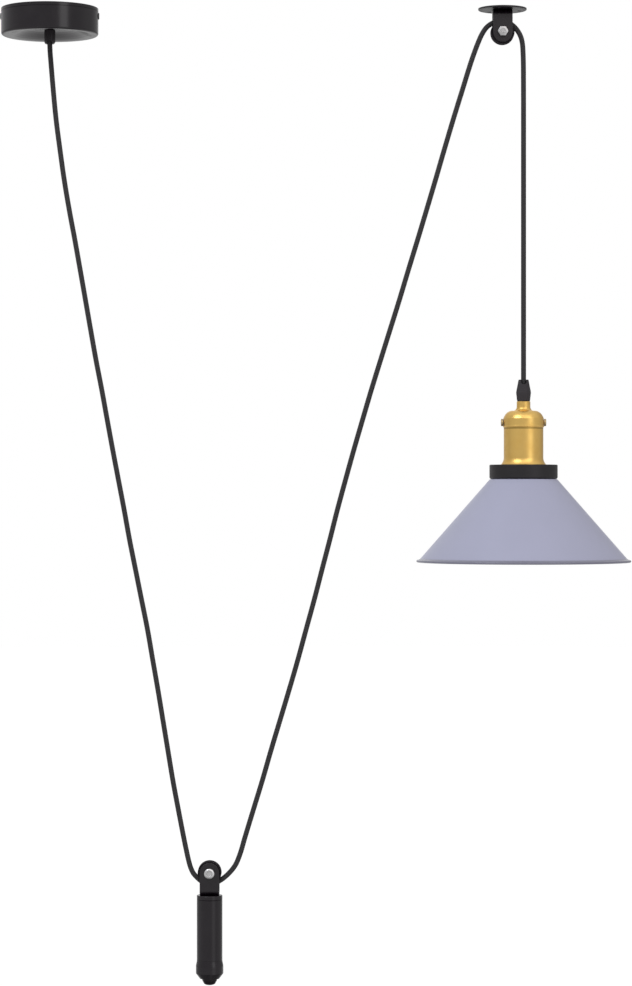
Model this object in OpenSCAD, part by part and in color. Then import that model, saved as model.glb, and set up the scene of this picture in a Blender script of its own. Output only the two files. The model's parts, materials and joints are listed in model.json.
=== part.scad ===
// Rise and fall pendant: a lamp and a counterweight that balance on one cord over two grooved wheels.
// Millimetres, +Z up. The origin is the centre of the ceiling rose, on the ceiling plane.
// The cord, the lamp, the weight and both wheels lie in the plane Y = 0.

/* [Suspension] */
// Distance from the rose to the lamp's axis
lamp_x = 493.5; // [470:0.5:520]
// Depth of the top of the lamp's cord grip below the ceiling
lamp_drop = 386.5; // [340:0.5:700]
// Distance from the rose to the ceiling wheel's axle
pulley_x = 471.5; // [450:0.5:500]
// Distance from the rose to the counterweight's axis
weight_x = 166.5; // [140:0.5:240]
// Depth of the counterweight's axle below the ceiling
weight_drop = 900; // [700:1:1000]
// Diameter of the textile cord
cord_d = 5.3; // [4:0.1:6]
// Diameter of one insulated core of the cord
core_d = 1.8; // [1.4:0.1:2]

/* [Ceiling rose] */
// Outer diameter of the rose
rose_d = 101.2; // [90:0.1:130]
// Height of the rose
rose_h = 28; // [25:0.5:40]
// Thickness of the rose's metal
rose_wall = 1.2; // [0.8:0.1:1.6]
// Radius of the rose's lower corner
rose_corner = 2.5; // [2:0.1:4]
// Depth of the dished underside
rose_dish = 8.5; // [4:0.5:10]
// Radius of the flat middle of the underside
rose_flat_r = 20; // [14:1:26]
// Depth of the side screws below the ceiling
side_screw_z = 8; // [6:0.5:9]
// Shank diameter of the rose's side screws
side_screw_d = 4; // [3:0.5:5]
// Length of the rose's cord grip
rose_grip_l = 15.7; // [13:0.1:20]
// Diameter of the rose's cord grip
rose_grip_d = 11.5; // [10.5:0.1:16]
// Outer diameter of the rose's threaded nipple
rose_nipple_d = 7.4; // [6.8:0.1:9]
// Length of nipple that shows between the rose and its grip
rose_nipple_gap = 2; // [1:0.1:4]
// Width across the flats of the rose's lock nut
rose_nut_af = 12; // [11:0.5:14]
// Height of the rose's lock nut
rose_nut_h = 3; // [2:0.5:4]

/* [Rose bracket] */
// Width of the fixing bracket
bracket_w = 20; // [16:1:26]
// Thickness of the fixing bracket
bracket_t = 1.5; // [1:0.1:2]
// Distance between the two fixing slots
slot_spacing = 51; // [46:1:60]
// Width of each fixing slot
slot_w = 4.5; // [3.5:0.1:5.5]
// End-to-end length of each fixing slot
slot_l = 12; // [8:0.5:16]
// Length of the bracket's turned-down ends
bracket_leg = 12; // [11:0.5:14]

/* [Terminal block] */
// Length of the terminal block along its wire holes
block_l = 18; // [16:0.5:22]
// Height of the terminal block
block_h = 10; // [8:0.5:12]
// Distance between the two poles
pole_pitch = 9; // [8.5:0.5:11]
// Diameter of each wire hole
wire_hole_d = 3.2; // [2.8:0.1:3.6]

/* [Pulley brackets] */
// Diameter of the ceiling plate
plate_d = 50.4; // [46:0.1:70]
// Thickness of the ceiling plate
plate_t = 1.7; // [1:0.1:2]
// Pitch circle diameter of the plate's screw holes
plate_pcd = 37; // [34:0.5:38]
// Diameter of the plate's screw holes
plate_hole_d = 4.4; // [3:0.1:5]
// Width of both strap brackets
strap_w = 20.3; // [16:0.1:21]
// Thickness of both strap brackets
strap_t = 2; // [1.5:0.1:2.5]
// Outer depth of both strap brackets
strap_depth = 18; // [17:0.5:22]
// Outer bend radius of both strap brackets
strap_bend = 5.5; // [3:0.5:6]
// Distance from the closed end of a strap bracket to its axle
strap_drop = 23.3; // [22:0.1:28]

/* [Wheels and axles] */
// Outer diameter of both grooved wheels
wheel_d = 24.7; // [24:0.1:27]
// Distance from a wheel's axis to the middle of the cord
pitch_r = 11.7; // [11.5:0.1:12]
// Width of both wheels
wheel_w = 12; // [11:0.1:12.4]
// Diameter of both axles
axle_d = 6; // [5:0.1:6.5]
// Width across the flats of the axle's bolt head and nuts
axle_af = 10; // [9:0.1:12]
// Height of the axle heads
axle_head_h = 4.4; // [3:0.1:6]
// Height of the axle nuts
axle_nut_h = 5; // [4:0.1:6]
// Diameter of the counterweight's round axle head
round_head_d = 10.9; // [9:0.1:13]
// Wall of the wheel bushes
bush_wall = 1; // [0.6:0.1:1.4]

/* [Counterweight] */
// Diameter of the counterweight's body
weight_d = 26.7; // [24:0.1:32]
// Length of the counterweight's body, cap and sleeve together
weight_l = 67.5; // [55:0.5:110]
// Height of the top cap
top_cap_h = 4.5; // [3:0.1:8]
// Wall of the weight's sleeve
sleeve_wall = 1.3; // [1:0.1:2]
// Diameter of the swollen end cap
end_cap_d = 28.7; // [27.4:0.1:36]
// Height of the swollen end cap
end_cap_h = 19.4; // [16:0.1:24]
// Diameter of the end knob
knob_d = 15.4; // [12:0.1:18]
// Height of the end knob
knob_h = 6.9; // [5:0.1:10]

/* [Lamp grip and brass cap] */
// Length of the lamp's cord grip
grip_l = 22.2; // [18:0.1:26]
// Width of the lamp's cord grip at its widest
grip_d = 15.9; // [15:0.1:18]
// Width of the lamp's cord grip at its upper end
grip_top_d = 10.8; // [10:0.1:12]
// Width of the lamp's cord grip at its lower end
grip_foot_d = 13.9; // [12.5:0.1:14.5]
// Outer diameter of the lamp's threaded nipple
nipple_d = 9.8; // [9:0.1:10.5]
// Outer diameter of the brass cap's neck
neck_d = 14.2; // [12.4:0.1:15]
// Height of the brass cap's neck
neck_h = 5.8; // [4:0.1:10]
// Outer diameter of the brass cap
cap_d = 42.2; // [41:0.1:46]
// Height of the brass cap below its neck
cap_h = 21.2; // [19:0.1:24]
// Thickness of the brass cap's metal
cap_wall = 0.5; // [0.4:0.1:0.7]
// Head diameter of the two side screws
clamp_head_d = 7.6; // [6:0.1:9]
// Head height of the two side screws
clamp_head_h = 2; // [1.6:0.1:4]

/* [Lampholder] */
// Height of the brass shell from the top of its seat in the cap to the shade ring
shell_l = 47.4; // [44:0.1:60]
// Thickness of the brass shell's metal
shell_wall = 0.8; // [0.6:0.1:1]
// Diameter of the flare at the foot of the brass shell
flare_d = 46.4; // [44.5:0.1:50]
// Wall of the insulating skirt
skirt_wall = 1.8; // [1.4:0.1:2.2]
// Inner diameter of the lamp's screw shell
socket_d = 26.5; // [26.3:0.1:27]
// Length of the lamp's screw shell
socket_l = 22; // [18:0.5:24]
// Length of the wider bore above the socket's thread, beside the contact
relief_l = 3; // [2.8:0.1:4]
// Travel of the sprung centre contact
contact_travel = 1.5; // [1:0.1:2]

/* [Shade] */
// Outer diameter of the black ring on top of the shade
ring_d = 71; // [64:0.1:80]
// Height of the black ring
ring_h = 14.9; // [12:0.1:20]
// Wall of the black ring
ring_wall = 1.5; // [1:0.1:2.5]
// Diameter of the shade's upper end
shade_top_d = 71.6; // [66:0.1:82]
// Diameter of the shade's cone at its lower end
shade_d = 213.6; // [180:0.1:260]
// Height of the shade's cone
shade_h = 82.2; // [70:0.1:110]
// Thickness of the shade's metal
shade_wall = 0.8; // [0.6:0.1:1.2]
// How far the flared rim stands out beyond the cone all round
rim_flare = 4.8; // [4:0.1:8]
// Height of the flared rim
rim_h = 4.6; // [4:0.1:7]
// Diameter of the rolled edge
roll_d = 2.6; // [2:0.1:3]

/* [Hidden] */
$fn = 96;
// Facets of one quarter turn in a revolved outline
quarter = 8;

// Clearances
fit = 0.05;
seat = 0.1;
running = 0.05;
through = 0.2;
eps = 0.01;

// Cord and cores
cord_r = cord_d / 2;
core_r = core_d / 2;
cord_bore_r = cord_r + through;
cord_sides = 10;
core_sides = 8;
core_ring_r = 1.16 * core_r;

// Ceiling rose, from the ceiling down
rose_r = rose_d / 2;
rose_floor = -rose_h + rose_dish;
rose_lip_r = rose_r - rose_corner - 1;
rose_nipple_top = rose_floor + rose_wall + rose_nut_h + 2;
rose_grip_top = rose_floor - rose_nipple_gap;
rose_grip_foot = rose_grip_top - rose_grip_l;
rose_nipple_depth = 4.5;
bracket_half = sqrt(pow(rose_r - rose_wall, 2) - pow(bracket_w / 2, 2)) - 0.4;
tab_l = block_l + 2;
block_w = pole_pitch + 8;
block_y = bracket_w / 2 + 2;
block_mid = block_y + block_l / 2;
block_top = -bracket_t - seat;
pole_z = block_top - block_h / 2 - 0.6;
insert_l = block_l - 3;
insert_r = wire_hole_d / 2 + 0.7;
wire_stop = 2;
terminal_screw_d = 2.6;
block_screw_d = 3;
earth_x = -12;
earth_screw_d = 3;
earth_washer_t = 0.8;
earth_clamp = core_d + 0.2;

// Wheels and their brackets
pulley_z = -plate_t - strap_drop;
strap_gap = strap_depth - 2 * strap_t;
ear_past = strap_w / 2 + 0.6;
washer_t = 0.6;
bush_l = strap_gap - 2 * washer_t - 4 * running;
bush_r = axle_d / 2 + running + bush_wall;
wheel_bore_r = bush_r + 0.03;
groove_r = cord_r + 0.3;
axle_end = strap_depth / 2 + axle_nut_h + 0.6;
rivet_r = 2.5;
strap_flat = strap_gap / 2 - strap_bend + strap_t;

// Counterweight, from its axle down
weight_top = -weight_drop - strap_drop;
sleeve_top = weight_top - top_cap_h - seat;
sleeve_foot = weight_top - weight_l;
sleeve_bore_r = weight_d / 2 - sleeve_wall;
spigot_h = 3;
core_top = sleeve_top - spigot_h - seat;
core_foot = sleeve_foot + spigot_h + seat;
end_cap_foot = sleeve_foot - end_cap_h;
strap_screw_d = 5;
strap_screw_l = top_cap_h + spigot_h + 14;
stud_d = 6;
stud_l = 14;

// Lamp, from the grip's top down
grip_foot = -lamp_drop - grip_l;
collar_h = 0.4;
neck_top = grip_foot - collar_h - seat;
neck_foot = neck_top - neck_h;
cap_foot = neck_foot - cap_h;
cap_bore_r = cap_d / 2 - cap_wall;
cap_lip = 0.3;
nut_h = 3;
flare_r = 4;
shoulder_w = 7.9;
shoulder_h = 8;
shoulder_top = neck_foot - flare_r;
shoulder_foot = shoulder_top - shoulder_h;
cap_ceiling = shoulder_top - cap_wall;
tag_t = 0.8;
tag_hole_y = 9.8;
tag_foot = cap_ceiling - seat - tag_t;
nut_top = tag_foot - fit;
nipple_foot = nut_top - nut_h - 1.2;
shell_r = cap_bore_r - fit;
shell_top = shoulder_foot - 0.6;
shell_foot = shell_top - shell_l;
clamp_z = cap_foot + 5;
clamp_d = 4;
skirt_r = shell_r - shell_wall - seat;
ring_top = shell_foot - seat;
shade_top = ring_top - ring_h - seat;
nut_ring_h = 6;
skirt_top = shell_top - 17;
skirt_foot = shade_top - 18.5;
socket_foot = skirt_foot + 2 + seat;
socket_top = socket_foot + socket_l;
insert_outer_r = skirt_r - skirt_wall - fit;
insert_base = socket_top + seat;
insert_top = insert_base + 12;
screw_wall = 0.9;
contact_r = 4;
contact_stem_r = 1.3;
contact_face = insert_base - 1.2;
contact_well = contact_travel + 3.2;
spring_wire_r = 0.25;
spring_turns = 4;
lamp_terminal = [6, 7, 7];
lamp_terminal_x = 10;

// Route of the cord in the plane Y = 0, as [X, Z], chosen by hand
down_route = [[0, -15.5], [0, -30], [0, -37], [1, -54], [6.5, -116], [15, -179], [26, -241], [37, -304],
    [48, -366], [60, -429], [71.5, -491], [83, -554], [95.5, -616], [107.5, -679], [118, -741],
    [128, -804], [134, -835], [140, -866], [142.4, -877], [144.4, -886.5]];
weight_loop = [[144.5, -886.8], [146.8, -895], [149.6, -900.8], [152.9, -904.6], [156.9, -908.2],
    [161.4, -911], [166.5, -911.8], [171.6, -911], [176.4, -908.8], [180.8, -905.9], [185.7, -901.6],
    [190.4, -896.4], [193.7, -891.5], [195.9, -886.8]];
up_route = [[196, -886.5], [199.6, -876], [202.5, -866], [221.5, -804], [240, -741], [258, -679],
    [275.5, -616], [291.5, -554], [308, -491], [325.5, -429], [344.5, -366], [364, -304], [383, -241],
    [401.5, -179], [420, -116], [430, -85], [439.6, -54], [446, -36]];
ceiling_loop = [[446.1, -35.7], [450.2, -26.4], [455, -19.4], [460.6, -15.4], [466, -13.6], [471.5, -13.1],
    [477, -14.4], [482, -17.4], [486, -21.3], [489.2, -26.2], [491.2, -30.6], [492, -34], [492.5, -37.7]];
lamp_route = [[492.6, -38], [493, -44], [493.3, -54], [493.5, -110], [493.5, -200], [493.5, -300],
    [493.5, -370], [lamp_x, nipple_foot + 1]];

// Helper functions
function unit(v) = v / norm(v);
function lifted(route) = [for (p = route) [p[0], 0, p[1]]];
// Points of an arc about [x, y], from one angle to another
function arc(x, y, r, from, to, steps = quarter) =
    [for (i = [0 : steps]) let (a = from + (to - from) * i / steps) [x + r * cos(a), y + r * sin(a)]];
// Points of a smooth step between two points, level at both ends
function ease(from, to, steps = quarter) =
    [for (i = [0 : steps]) let (t = i / steps, s = (1 - cos(180 * t)) / 2)
        [from[0] + (to[0] - from[0]) * t, from[1] + (to[1] - from[1]) * s]];
// Points of a curve from a to c that leaves towards b, moved sideways; its ends may be left off
function bow(a, b, c, off = 0, first = 0, last = quarter) =
    [for (i = [first : last]) let (t = i / quarter, d = unit((1 - t) * (b - a) + t * (c - b)))
        pow(1 - t, 2) * a + 2 * t * (1 - t) * b + t * t * c + off * [d[1], -d[0]]];
function reversed(list) = [for (i = [len(list) - 1 : -1 : 0]) list[i]];

// A round tube along a path; side is a direction that the path never runs along
module tube(path, r, sides, side = [0, 1, 0]) {
    last = len(path) - 1;
    along = [for (i = [0 : last]) unit(path[min(i + 1, last)] - path[max(i - 1, 0)])];
    u = [for (t = along) unit(side - (side * t) * t)];
    points = [for (i = [0 : last]) for (k = [0 : sides - 1])
        let (a = 360 * k / sides)
            path[i] + r * (cos(a) * u[i] + sin(a) * cross(along[i], u[i]))];
    walls = [for (i = [0 : last - 1]) for (k = [0 : sides - 1])
        let (a = i * sides + k, b = i * sides + (k + 1) % sides)
            each [[a, a + sides, b + sides], [a, b + sides, b]]];
    caps = [for (k = [1 : sides - 2])
        each [[0, k, k + 1], [last * sides, last * sides + k + 1, last * sides + k]]];
    polyhedron(points, concat(walls, caps), convexity = 8);
}

// A hexagonal prism with its width across the flats, its corners turned off at the top
module hexagon(af, h) {
    intersection() {
        cylinder(r = af / 2 / cos(30), h = h, $fn = 6);
        union() {
            cylinder(r = af, h = h - af * 0.08);
            translate([0, 0, h - af * 0.08 - eps])
                cylinder(r1 = af / 2 / cos(30) + eps, r2 = af / 2 - af * 0.02, h = af * 0.08 + eps);
        }
    }
}

// A U outline that opens downwards: a closed top with two rounded corners
module u_outline(depth, leg, t, bend) {
    difference() {
        round_top(depth, leg, bend);
        translate([0, -t])
            round_top(depth - 2 * t, leg, bend - t);
    }
}

module round_top(w, h, r) {
    translate([-w / 2, -h])
        square([w, h - r]);
    translate([-w / 2 + r, -h])
        square([w - 2 * r, h]);
    for (x = [-1, 1])
        translate([x * (w / 2 - r), -r])
            circle(r);
}

// A strap bracket that opens downwards from Z = 0, its axle along Y at Z = -strap_drop
module strap(hole_r) {
    difference() {
        intersection() {
            rotate([90, 0, 90])
                linear_extrude(strap_w, center = true)
                    u_outline(strap_depth, strap_drop + ear_past, strap_t, strap_bend);
            rotate([90, 0, 0])
                linear_extrude(strap_depth + 2, center = true)
                    union() {
                        translate([-strap_w / 2, -strap_drop - ear_past + strap_w / 2])
                            square([strap_w, strap_drop + ear_past]);
                        translate([0, -strap_drop - ear_past + strap_w / 2])
                            circle(strap_w / 2);
                    }
        }
        translate([0, 0, -strap_drop])
            rotate([90, 0, 0])
                cylinder(r = axle_d / 2 + seat, h = strap_depth + 2, center = true);
        translate([0, 0, -strap_t - 1])
            cylinder(r = hole_r, h = strap_t + 2);
    }
}

// A grooved wheel about the Y axis
module wheel() {
    half = wheel_w / 2;
    hub_r = wheel_bore_r + 1.6;
    recess = 1.2;
    rotate([90, 0, 0])
        rotate_extrude()
            difference() {
                polygon(concat(
                    [[wheel_bore_r, half], [wheel_bore_r, -half], [hub_r, -half],
                     [hub_r + 0.4, -half + recess], [wheel_d / 2 - 2.2, -half + recess],
                     [wheel_d / 2 - 1.6, -half]],
                    arc(wheel_d / 2 - 0.5, -half + 0.5, 0.5, -90, 0, 4),
                    arc(wheel_d / 2 - 0.5, half - 0.5, 0.5, 0, 90, 4),
                    [[wheel_d / 2 - 1.6, half], [wheel_d / 2 - 2.2, half - recess],
                     [hub_r + 0.4, half - recess], [hub_r, half]]));
                translate([pitch_r, 0])
                    circle(groove_r);
                translate([pitch_r, -groove_r])
                    square([3, 2 * groove_r]);
            }
}

module bush() {
    rotate([90, 0, 0])
        difference() {
            cylinder(r = bush_r, h = bush_l, center = true);
            cylinder(r = axle_d / 2 + running, h = bush_l + 2, center = true);
        }
}

// The two thin washers between a wheel's bush and the ears
module axle_washers() {
    for (y = [-1, 1])
        translate([0, y * (strap_gap / 2 - washer_t / 2 - running), 0])
            rotate([90, 0, 0])
                difference() {
                    cylinder(r = bush_r + 0.8, h = washer_t, center = true);
                    cylinder(r = axle_d / 2 + fit, h = 2, center = true);
                }
}

module axle_shank() {
    translate([0, axle_end, 0])
        rotate([90, 0, 0])
            cylinder(r = axle_d / 2, h = axle_end + strap_depth / 2 + 1);
}

module axle_nut() {
    translate([0, strap_depth / 2 + fit, 0])
        rotate([-90, 0, 0])
            difference() {
                hexagon(axle_af, axle_nut_h);
                translate([0, 0, -1])
                    cylinder(r = axle_d / 2 + fit, h = axle_nut_h + 2);
            }
}

// A screw about the Z axis: a cheese head above Z = 0, its slot, and a shank below
module slotted_screw(head_d, head_h, shank_d, shank_l) {
    difference() {
        rotate_extrude()
            polygon(concat([[0, head_h]], arc(head_d / 2 - 0.4, head_h - 0.4, 0.4, 90, 0, 4),
                [[head_d / 2, 0], [shank_d / 2, 0], [shank_d / 2, -shank_l + 0.4],
                 [shank_d / 2 - 0.4, -shank_l], [0, -shank_l]]));
        translate([-head_d, -head_d * 0.07, head_h - head_d * 0.14])
            cube([2 * head_d, head_d * 0.14, head_h]);
    }
}

// ---- Ceiling rose ----

module rose_bracket() color("silver")
    difference() {
        union() {
            rotate([90, 0, 0])
                linear_extrude(bracket_w, center = true)
                    u_outline(2 * bracket_half, bracket_leg, bracket_t, bracket_t + 0.6);
            translate([-block_w / 2, bracket_w / 2 - eps, -bracket_t])
                cube([block_w, tab_l, bracket_t]);
        }
        for (x = [-1, 1])
            translate([x * slot_spacing / 2, 0, -bracket_t - 1])
                linear_extrude(bracket_t + 2)
                    union() {
                        square([slot_l - slot_w, slot_w], center = true);
                        for (e = [-1, 1])
                            translate([e * (slot_l - slot_w) / 2, 0])
                                circle(slot_w / 2);
                    }
        translate([0, 0, -side_screw_z])
            rotate([0, 90, 0])
                cylinder(r = side_screw_d / 2 + fit, h = rose_d, center = true);
        translate([earth_x, 0, -bracket_t - 1])
            cylinder(r = earth_screw_d / 2 + fit, h = bracket_t + 2);
        translate([0, block_mid, -bracket_t - 1])
            cylinder(r = block_screw_d / 2 + fit, h = bracket_t + 2);
    }

module rose_cup() color([0.13, 0.13, 0.14])
    difference() {
        rotate_extrude()
            polygon(concat(
                [[rose_nipple_d / 2 + fit, rose_floor]],
                ease([rose_flat_r, rose_floor], [rose_lip_r, -rose_h]),
                arc(rose_r - rose_corner, -rose_h + rose_corner, rose_corner, -90, 0),
                [[rose_r, -4.1], [rose_r - 0.35, -3.9], [rose_r - 0.35, -3.6], [rose_r, -3.4],
                 [rose_r, -0.3], [rose_r - 0.3, 0], [rose_r - rose_wall, 0]],
                arc(rose_r - rose_corner, -rose_h + rose_corner, rose_corner - rose_wall, 0, -90),
                ease([rose_lip_r, -rose_h + rose_wall], [rose_flat_r, rose_floor + rose_wall]),
                [[rose_nipple_d / 2 + fit, rose_floor + rose_wall]]));
        translate([0, 0, -side_screw_z])
            rotate([0, 90, 0])
                cylinder(r = side_screw_d / 2 + seat, h = rose_d + 2, center = true);
    }

module rose_side_screws() color("black")
    for (a = [0, 180])
        rotate([0, 0, a])
            translate([rose_r + fit, 0, -side_screw_z])
                rotate([0, 90, 0])
                    slotted_screw(side_screw_d * 1.7, 0.9, side_screw_d, rose_r - bracket_half + 3);

module rose_nipple() color("silver")
    translate([0, 0, rose_grip_top - rose_nipple_depth])
        difference() {
            cylinder(r = rose_nipple_d / 2, h = rose_nipple_top - rose_grip_top + rose_nipple_depth);
            translate([0, 0, -1])
                cylinder(r = cord_bore_r, h = rose_h);
        }

module rose_nut() color("silver")
    translate([0, 0, rose_floor + rose_wall + fit])
        difference() {
            hexagon(rose_nut_af, rose_nut_h);
            translate([0, 0, -1])
                cylinder(r = rose_nipple_d / 2 + fit, h = rose_nut_h + 2);
        }

// A round grip with a rounded foot, notched from front to back where the cord comes out
module rose_cord_grip() color("black") {
    r = rose_grip_d / 2;
    notch = 3.6;
    difference() {
        rotate_extrude()
            polygon(concat([[0, rose_grip_top]], arc(r - 1.8, rose_grip_top - 1.8, 1.8, 90, 0, 6),
                arc(r - 2.8, rose_grip_foot + 2.8, 2.8, 0, -90, 6), [[0, rose_grip_foot]]));
        translate([0, 0, rose_grip_foot - 1])
            cylinder(r = cord_bore_r, h = rose_grip_l + 2);
        translate([0, 0, rose_grip_top - rose_nipple_depth - seat])
            cylinder(r = rose_nipple_d / 2 + fit, h = rose_nipple_depth + 1);
        translate([0, 0, rose_grip_foot + notch - cord_bore_r])
            rotate([90, 0, 0])
                cylinder(r = cord_bore_r, h = rose_grip_d, center = true);
        translate([-cord_bore_r, -r, rose_grip_foot - 1])
            cube([2 * cord_bore_r, rose_grip_d, notch - cord_bore_r + 1]);
    }
}

module terminal_block() color("white")
    difference() {
        translate([-block_w / 2, block_y, block_top - block_h])
            cube([block_w, block_l, block_h]);
        for (x = [-1, 1]) {
            translate([x * pole_pitch / 2, block_y - 1, pole_z])
                rotate([-90, 0, 0])
                    cylinder(r = insert_r + fit, h = block_l + 2);
            for (y = [-1, 1])
                translate([x * pole_pitch / 2, block_mid + y * insert_l / 4, pole_z - block_h])
                    cylinder(r = terminal_screw_d / 2 + fit, h = block_h);
        }
        translate([0, block_mid, block_top - block_h - 1])
            cylinder(r = block_screw_d / 2 + fit, h = block_h + 2);
        translate([0, block_mid, block_top - block_h - 1])
            cylinder(r = block_screw_d * 0.9, h = 3);
    }

// Brass inserts with a wire stop half way and a tapped hole at each end
module terminal_inserts() color("goldenrod")
    for (x = [-1, 1])
        translate([x * pole_pitch / 2, block_mid, pole_z])
            difference() {
                rotate([90, 0, 0])
                    cylinder(r = insert_r, h = insert_l, center = true);
                for (e = [-1, 1]) {
                    translate([0, e * (insert_l / 2 + wire_stop / 2), 0])
                        rotate([90, 0, 0])
                            cylinder(r = wire_hole_d / 2, h = insert_l, center = true);
                    translate([0, e * insert_l / 4, -block_h])
                        cylinder(r = terminal_screw_d / 2 + fit, h = block_h);
                }
            }

module terminal_screws() color("silver") {
    foot = block_top - block_h + 0.5;
    for (x = [-1, 1])
        for (y = [-1, 1])
            translate([x * pole_pitch / 2, block_mid + y * insert_l / 4, foot])
                difference() {
                    cylinder(r = terminal_screw_d / 2, h = pole_z - core_r - fit - foot);
                    translate([-terminal_screw_d, -0.25, -1])
                        cube([2 * terminal_screw_d, 0.5, 1.7]);
                }
}

module terminal_fixing_screw() color("silver")
    translate([0, block_mid, block_top - block_h + 2 - fit])
        rotate([180, 0, 0])
            slotted_screw(block_screw_d * 1.7, 1.6, block_screw_d, block_h - 2 + seat + bracket_t);

// The earth core lies between the screw's washer and its head
module earth_screw() color("goldenrod")
    translate([earth_x, 0, -bracket_t - fit])
        rotate([180, 0, 0])
            union() {
                translate([0, 0, earth_washer_t + earth_clamp])
                    slotted_screw(7, 2.2, earth_screw_d, earth_washer_t + earth_clamp + bracket_t - 0.1);
                cylinder(r = 4, h = earth_washer_t);
            }

// The three cores, from the end of the sheath to their terminals
core_start_z = down_route[0][1] + fit;
module rose_core(a, rest) {
    start = [core_ring_r * cos(a), core_ring_r * sin(a), core_start_z];
    tube(concat([start, start + [0, 0, 2.4]], rest), core_r, core_sides, [1, 0, 0]);
}

module rose_core_live() color("saddlebrown")
    rose_core(150, [[-2, 3, -10.5], [-3.8, 6, -8.4], [-pole_pitch / 2, 9, pole_z - 0.2],
        [-pole_pitch / 2, block_y, pole_z], [-pole_pitch / 2, block_y + 6, pole_z]]);

module rose_core_neutral() color("royalblue")
    rose_core(30, [[2, 3, -10.5], [3.8, 6, -8.4], [pole_pitch / 2, 9, pole_z - 0.2],
        [pole_pitch / 2, block_y, pole_z], [pole_pitch / 2, block_y + 6, pole_z]]);

module rose_core_earth() color("yellowgreen") {
    start = [0, -core_ring_r, core_start_z];
    clamp_y = -earth_screw_d / 2 - core_r - seat;
    clamp_z = -bracket_t - fit - earth_washer_t - earth_clamp / 2;
    tube([start, start + [0, 0, 2.4], [-1.2, -1.6, -10.6], [-3.4, -2.2, -8.6], [-5.6, clamp_y, -6],
        [-7.2, clamp_y, clamp_z - 0.8], [-8.5, clamp_y, clamp_z], [earth_x - 2.4, clamp_y, clamp_z]],
        core_r, core_sides, [0, 1, 0]);
}

// ---- Ceiling wheel and its bracket ----

module pulley_plate() color([0.16, 0.16, 0.17])
    translate([pulley_x, 0, 0])
        difference() {
            rotate_extrude()
                polygon(concat(
                    [[0, -plate_t], [plate_d / 2 - 2.6, -plate_t], [plate_d / 2 - 2.4, -plate_t + 0.2],
                     [plate_d / 2 - 2.1, -plate_t + 0.2], [plate_d / 2 - 1.9, -plate_t]],
                    arc(plate_d / 2 - 0.5, -plate_t + 0.5, 0.5, -90, 0, 4),
                    [[plate_d / 2, 0], [0, 0]]));
            for (a = [15, 135, 255])
                rotate([0, 0, a])
                    translate([plate_pcd / 2, 0, -plate_t - 1])
                        cylinder(r = plate_hole_d / 2, h = plate_t + 2);
            rotate_extrude()
                polygon([[0, 1], [rivet_r + 1.5 + fit, 1], [rivet_r + 1.5 + fit, 0],
                    [rivet_r + fit, -plate_t], [rivet_r + fit, -plate_t - 1], [0, -plate_t - 1]]);
        }

module pulley_strap() color([0.1, 0.1, 0.11])
    translate([pulley_x, 0, -plate_t - eps])
        strap(rivet_r + fit);

module pulley_rivet() color([0.16, 0.16, 0.17])
    translate([pulley_x, 0, 0])
        rotate_extrude()
            polygon(concat([[0, 0], [rivet_r + 1.5, 0], [rivet_r, -plate_t],
                [rivet_r, -plate_t - strap_t - fit], [strap_flat, -plate_t - strap_t - fit]],
                [for (p = arc(0, 0, 1, 0, -90, 6))
                    [strap_flat * p[0], -plate_t - strap_t - 0.4 + 1.6 * p[1]]]));

module pulley_axle_bolt() color("silver")
    translate([pulley_x, 0, pulley_z])
        union() {
            axle_shank();
            translate([0, -strap_depth / 2 - fit, 0])
                rotate([90, 30, 0])
                    difference() {
                        hexagon(axle_af, axle_head_h);
                        translate([0, 0, axle_head_h - 0.4])
                            cylinder(r = axle_af * 0.24, h = 1);
                    }
        }

module pulley_axle_nut() color("silver")
    translate([pulley_x, 0, pulley_z])
        axle_nut();

module pulley_axle_washers() color("silver")
    translate([pulley_x, 0, pulley_z])
        axle_washers();

module ceiling_wheel() color([0.1, 0.1, 0.11])
    translate([pulley_x, 0, pulley_z])
        wheel();

module ceiling_wheel_bush() color("goldenrod")
    translate([pulley_x, 0, pulley_z])
        bush();

// ---- Cord ----

module cord_to_weight() color([0.14, 0.14, 0.15])
    tube(lifted(down_route), cord_r, cord_sides);

module cord_round_weight_wheel() color([0.14, 0.14, 0.15])
    tube(lifted(weight_loop), cord_r, cord_sides);

module cord_to_pulley() color([0.14, 0.14, 0.15])
    tube(lifted(up_route), cord_r, cord_sides);

module cord_over_ceiling_wheel() color([0.14, 0.14, 0.15])
    tube(lifted(ceiling_loop), cord_r, cord_sides);

module cord_to_lamp() color([0.14, 0.14, 0.15])
    tube(lifted(lamp_route), cord_r, cord_sides);

// ---- Counterweight ----

module weight_strap() color([0.1, 0.1, 0.11])
    translate([weight_x, 0, weight_top + eps])
        rotate([180, 0, 0])
            strap(strap_screw_d / 2 + seat);

module weight_strap_screw() color("silver")
    translate([weight_x, 0, weight_top + strap_t + fit])
        slotted_screw(2 * strap_flat, 2.4, strap_screw_d, strap_screw_l);

module weight_axle_pin() color("silver")
    translate([weight_x, 0, -weight_drop])
        union() {
            axle_shank();
            translate([0, -strap_depth / 2 - fit, 0])
                rotate([90, 0, 0])
                    rotate_extrude()
                        polygon(concat([[0, 0], [round_head_d / 2, 0]],
                            arc(round_head_d / 2 - 0.8, axle_head_h - 0.8, 0.8, 0, 90, 5),
                            [[round_head_d * 0.27, axle_head_h], [round_head_d * 0.24, axle_head_h - 0.5],
                             [0, axle_head_h - 0.5]]));
        }

module weight_axle_nut() color("silver")
    translate([weight_x, 0, -weight_drop])
        axle_nut();

module weight_axle_washers() color("silver")
    translate([weight_x, 0, -weight_drop])
        axle_washers();

module weight_wheel() color([0.1, 0.1, 0.11])
    translate([weight_x, 0, -weight_drop])
        wheel();

module weight_wheel_bush() color("goldenrod")
    translate([weight_x, 0, -weight_drop])
        bush();

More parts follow.
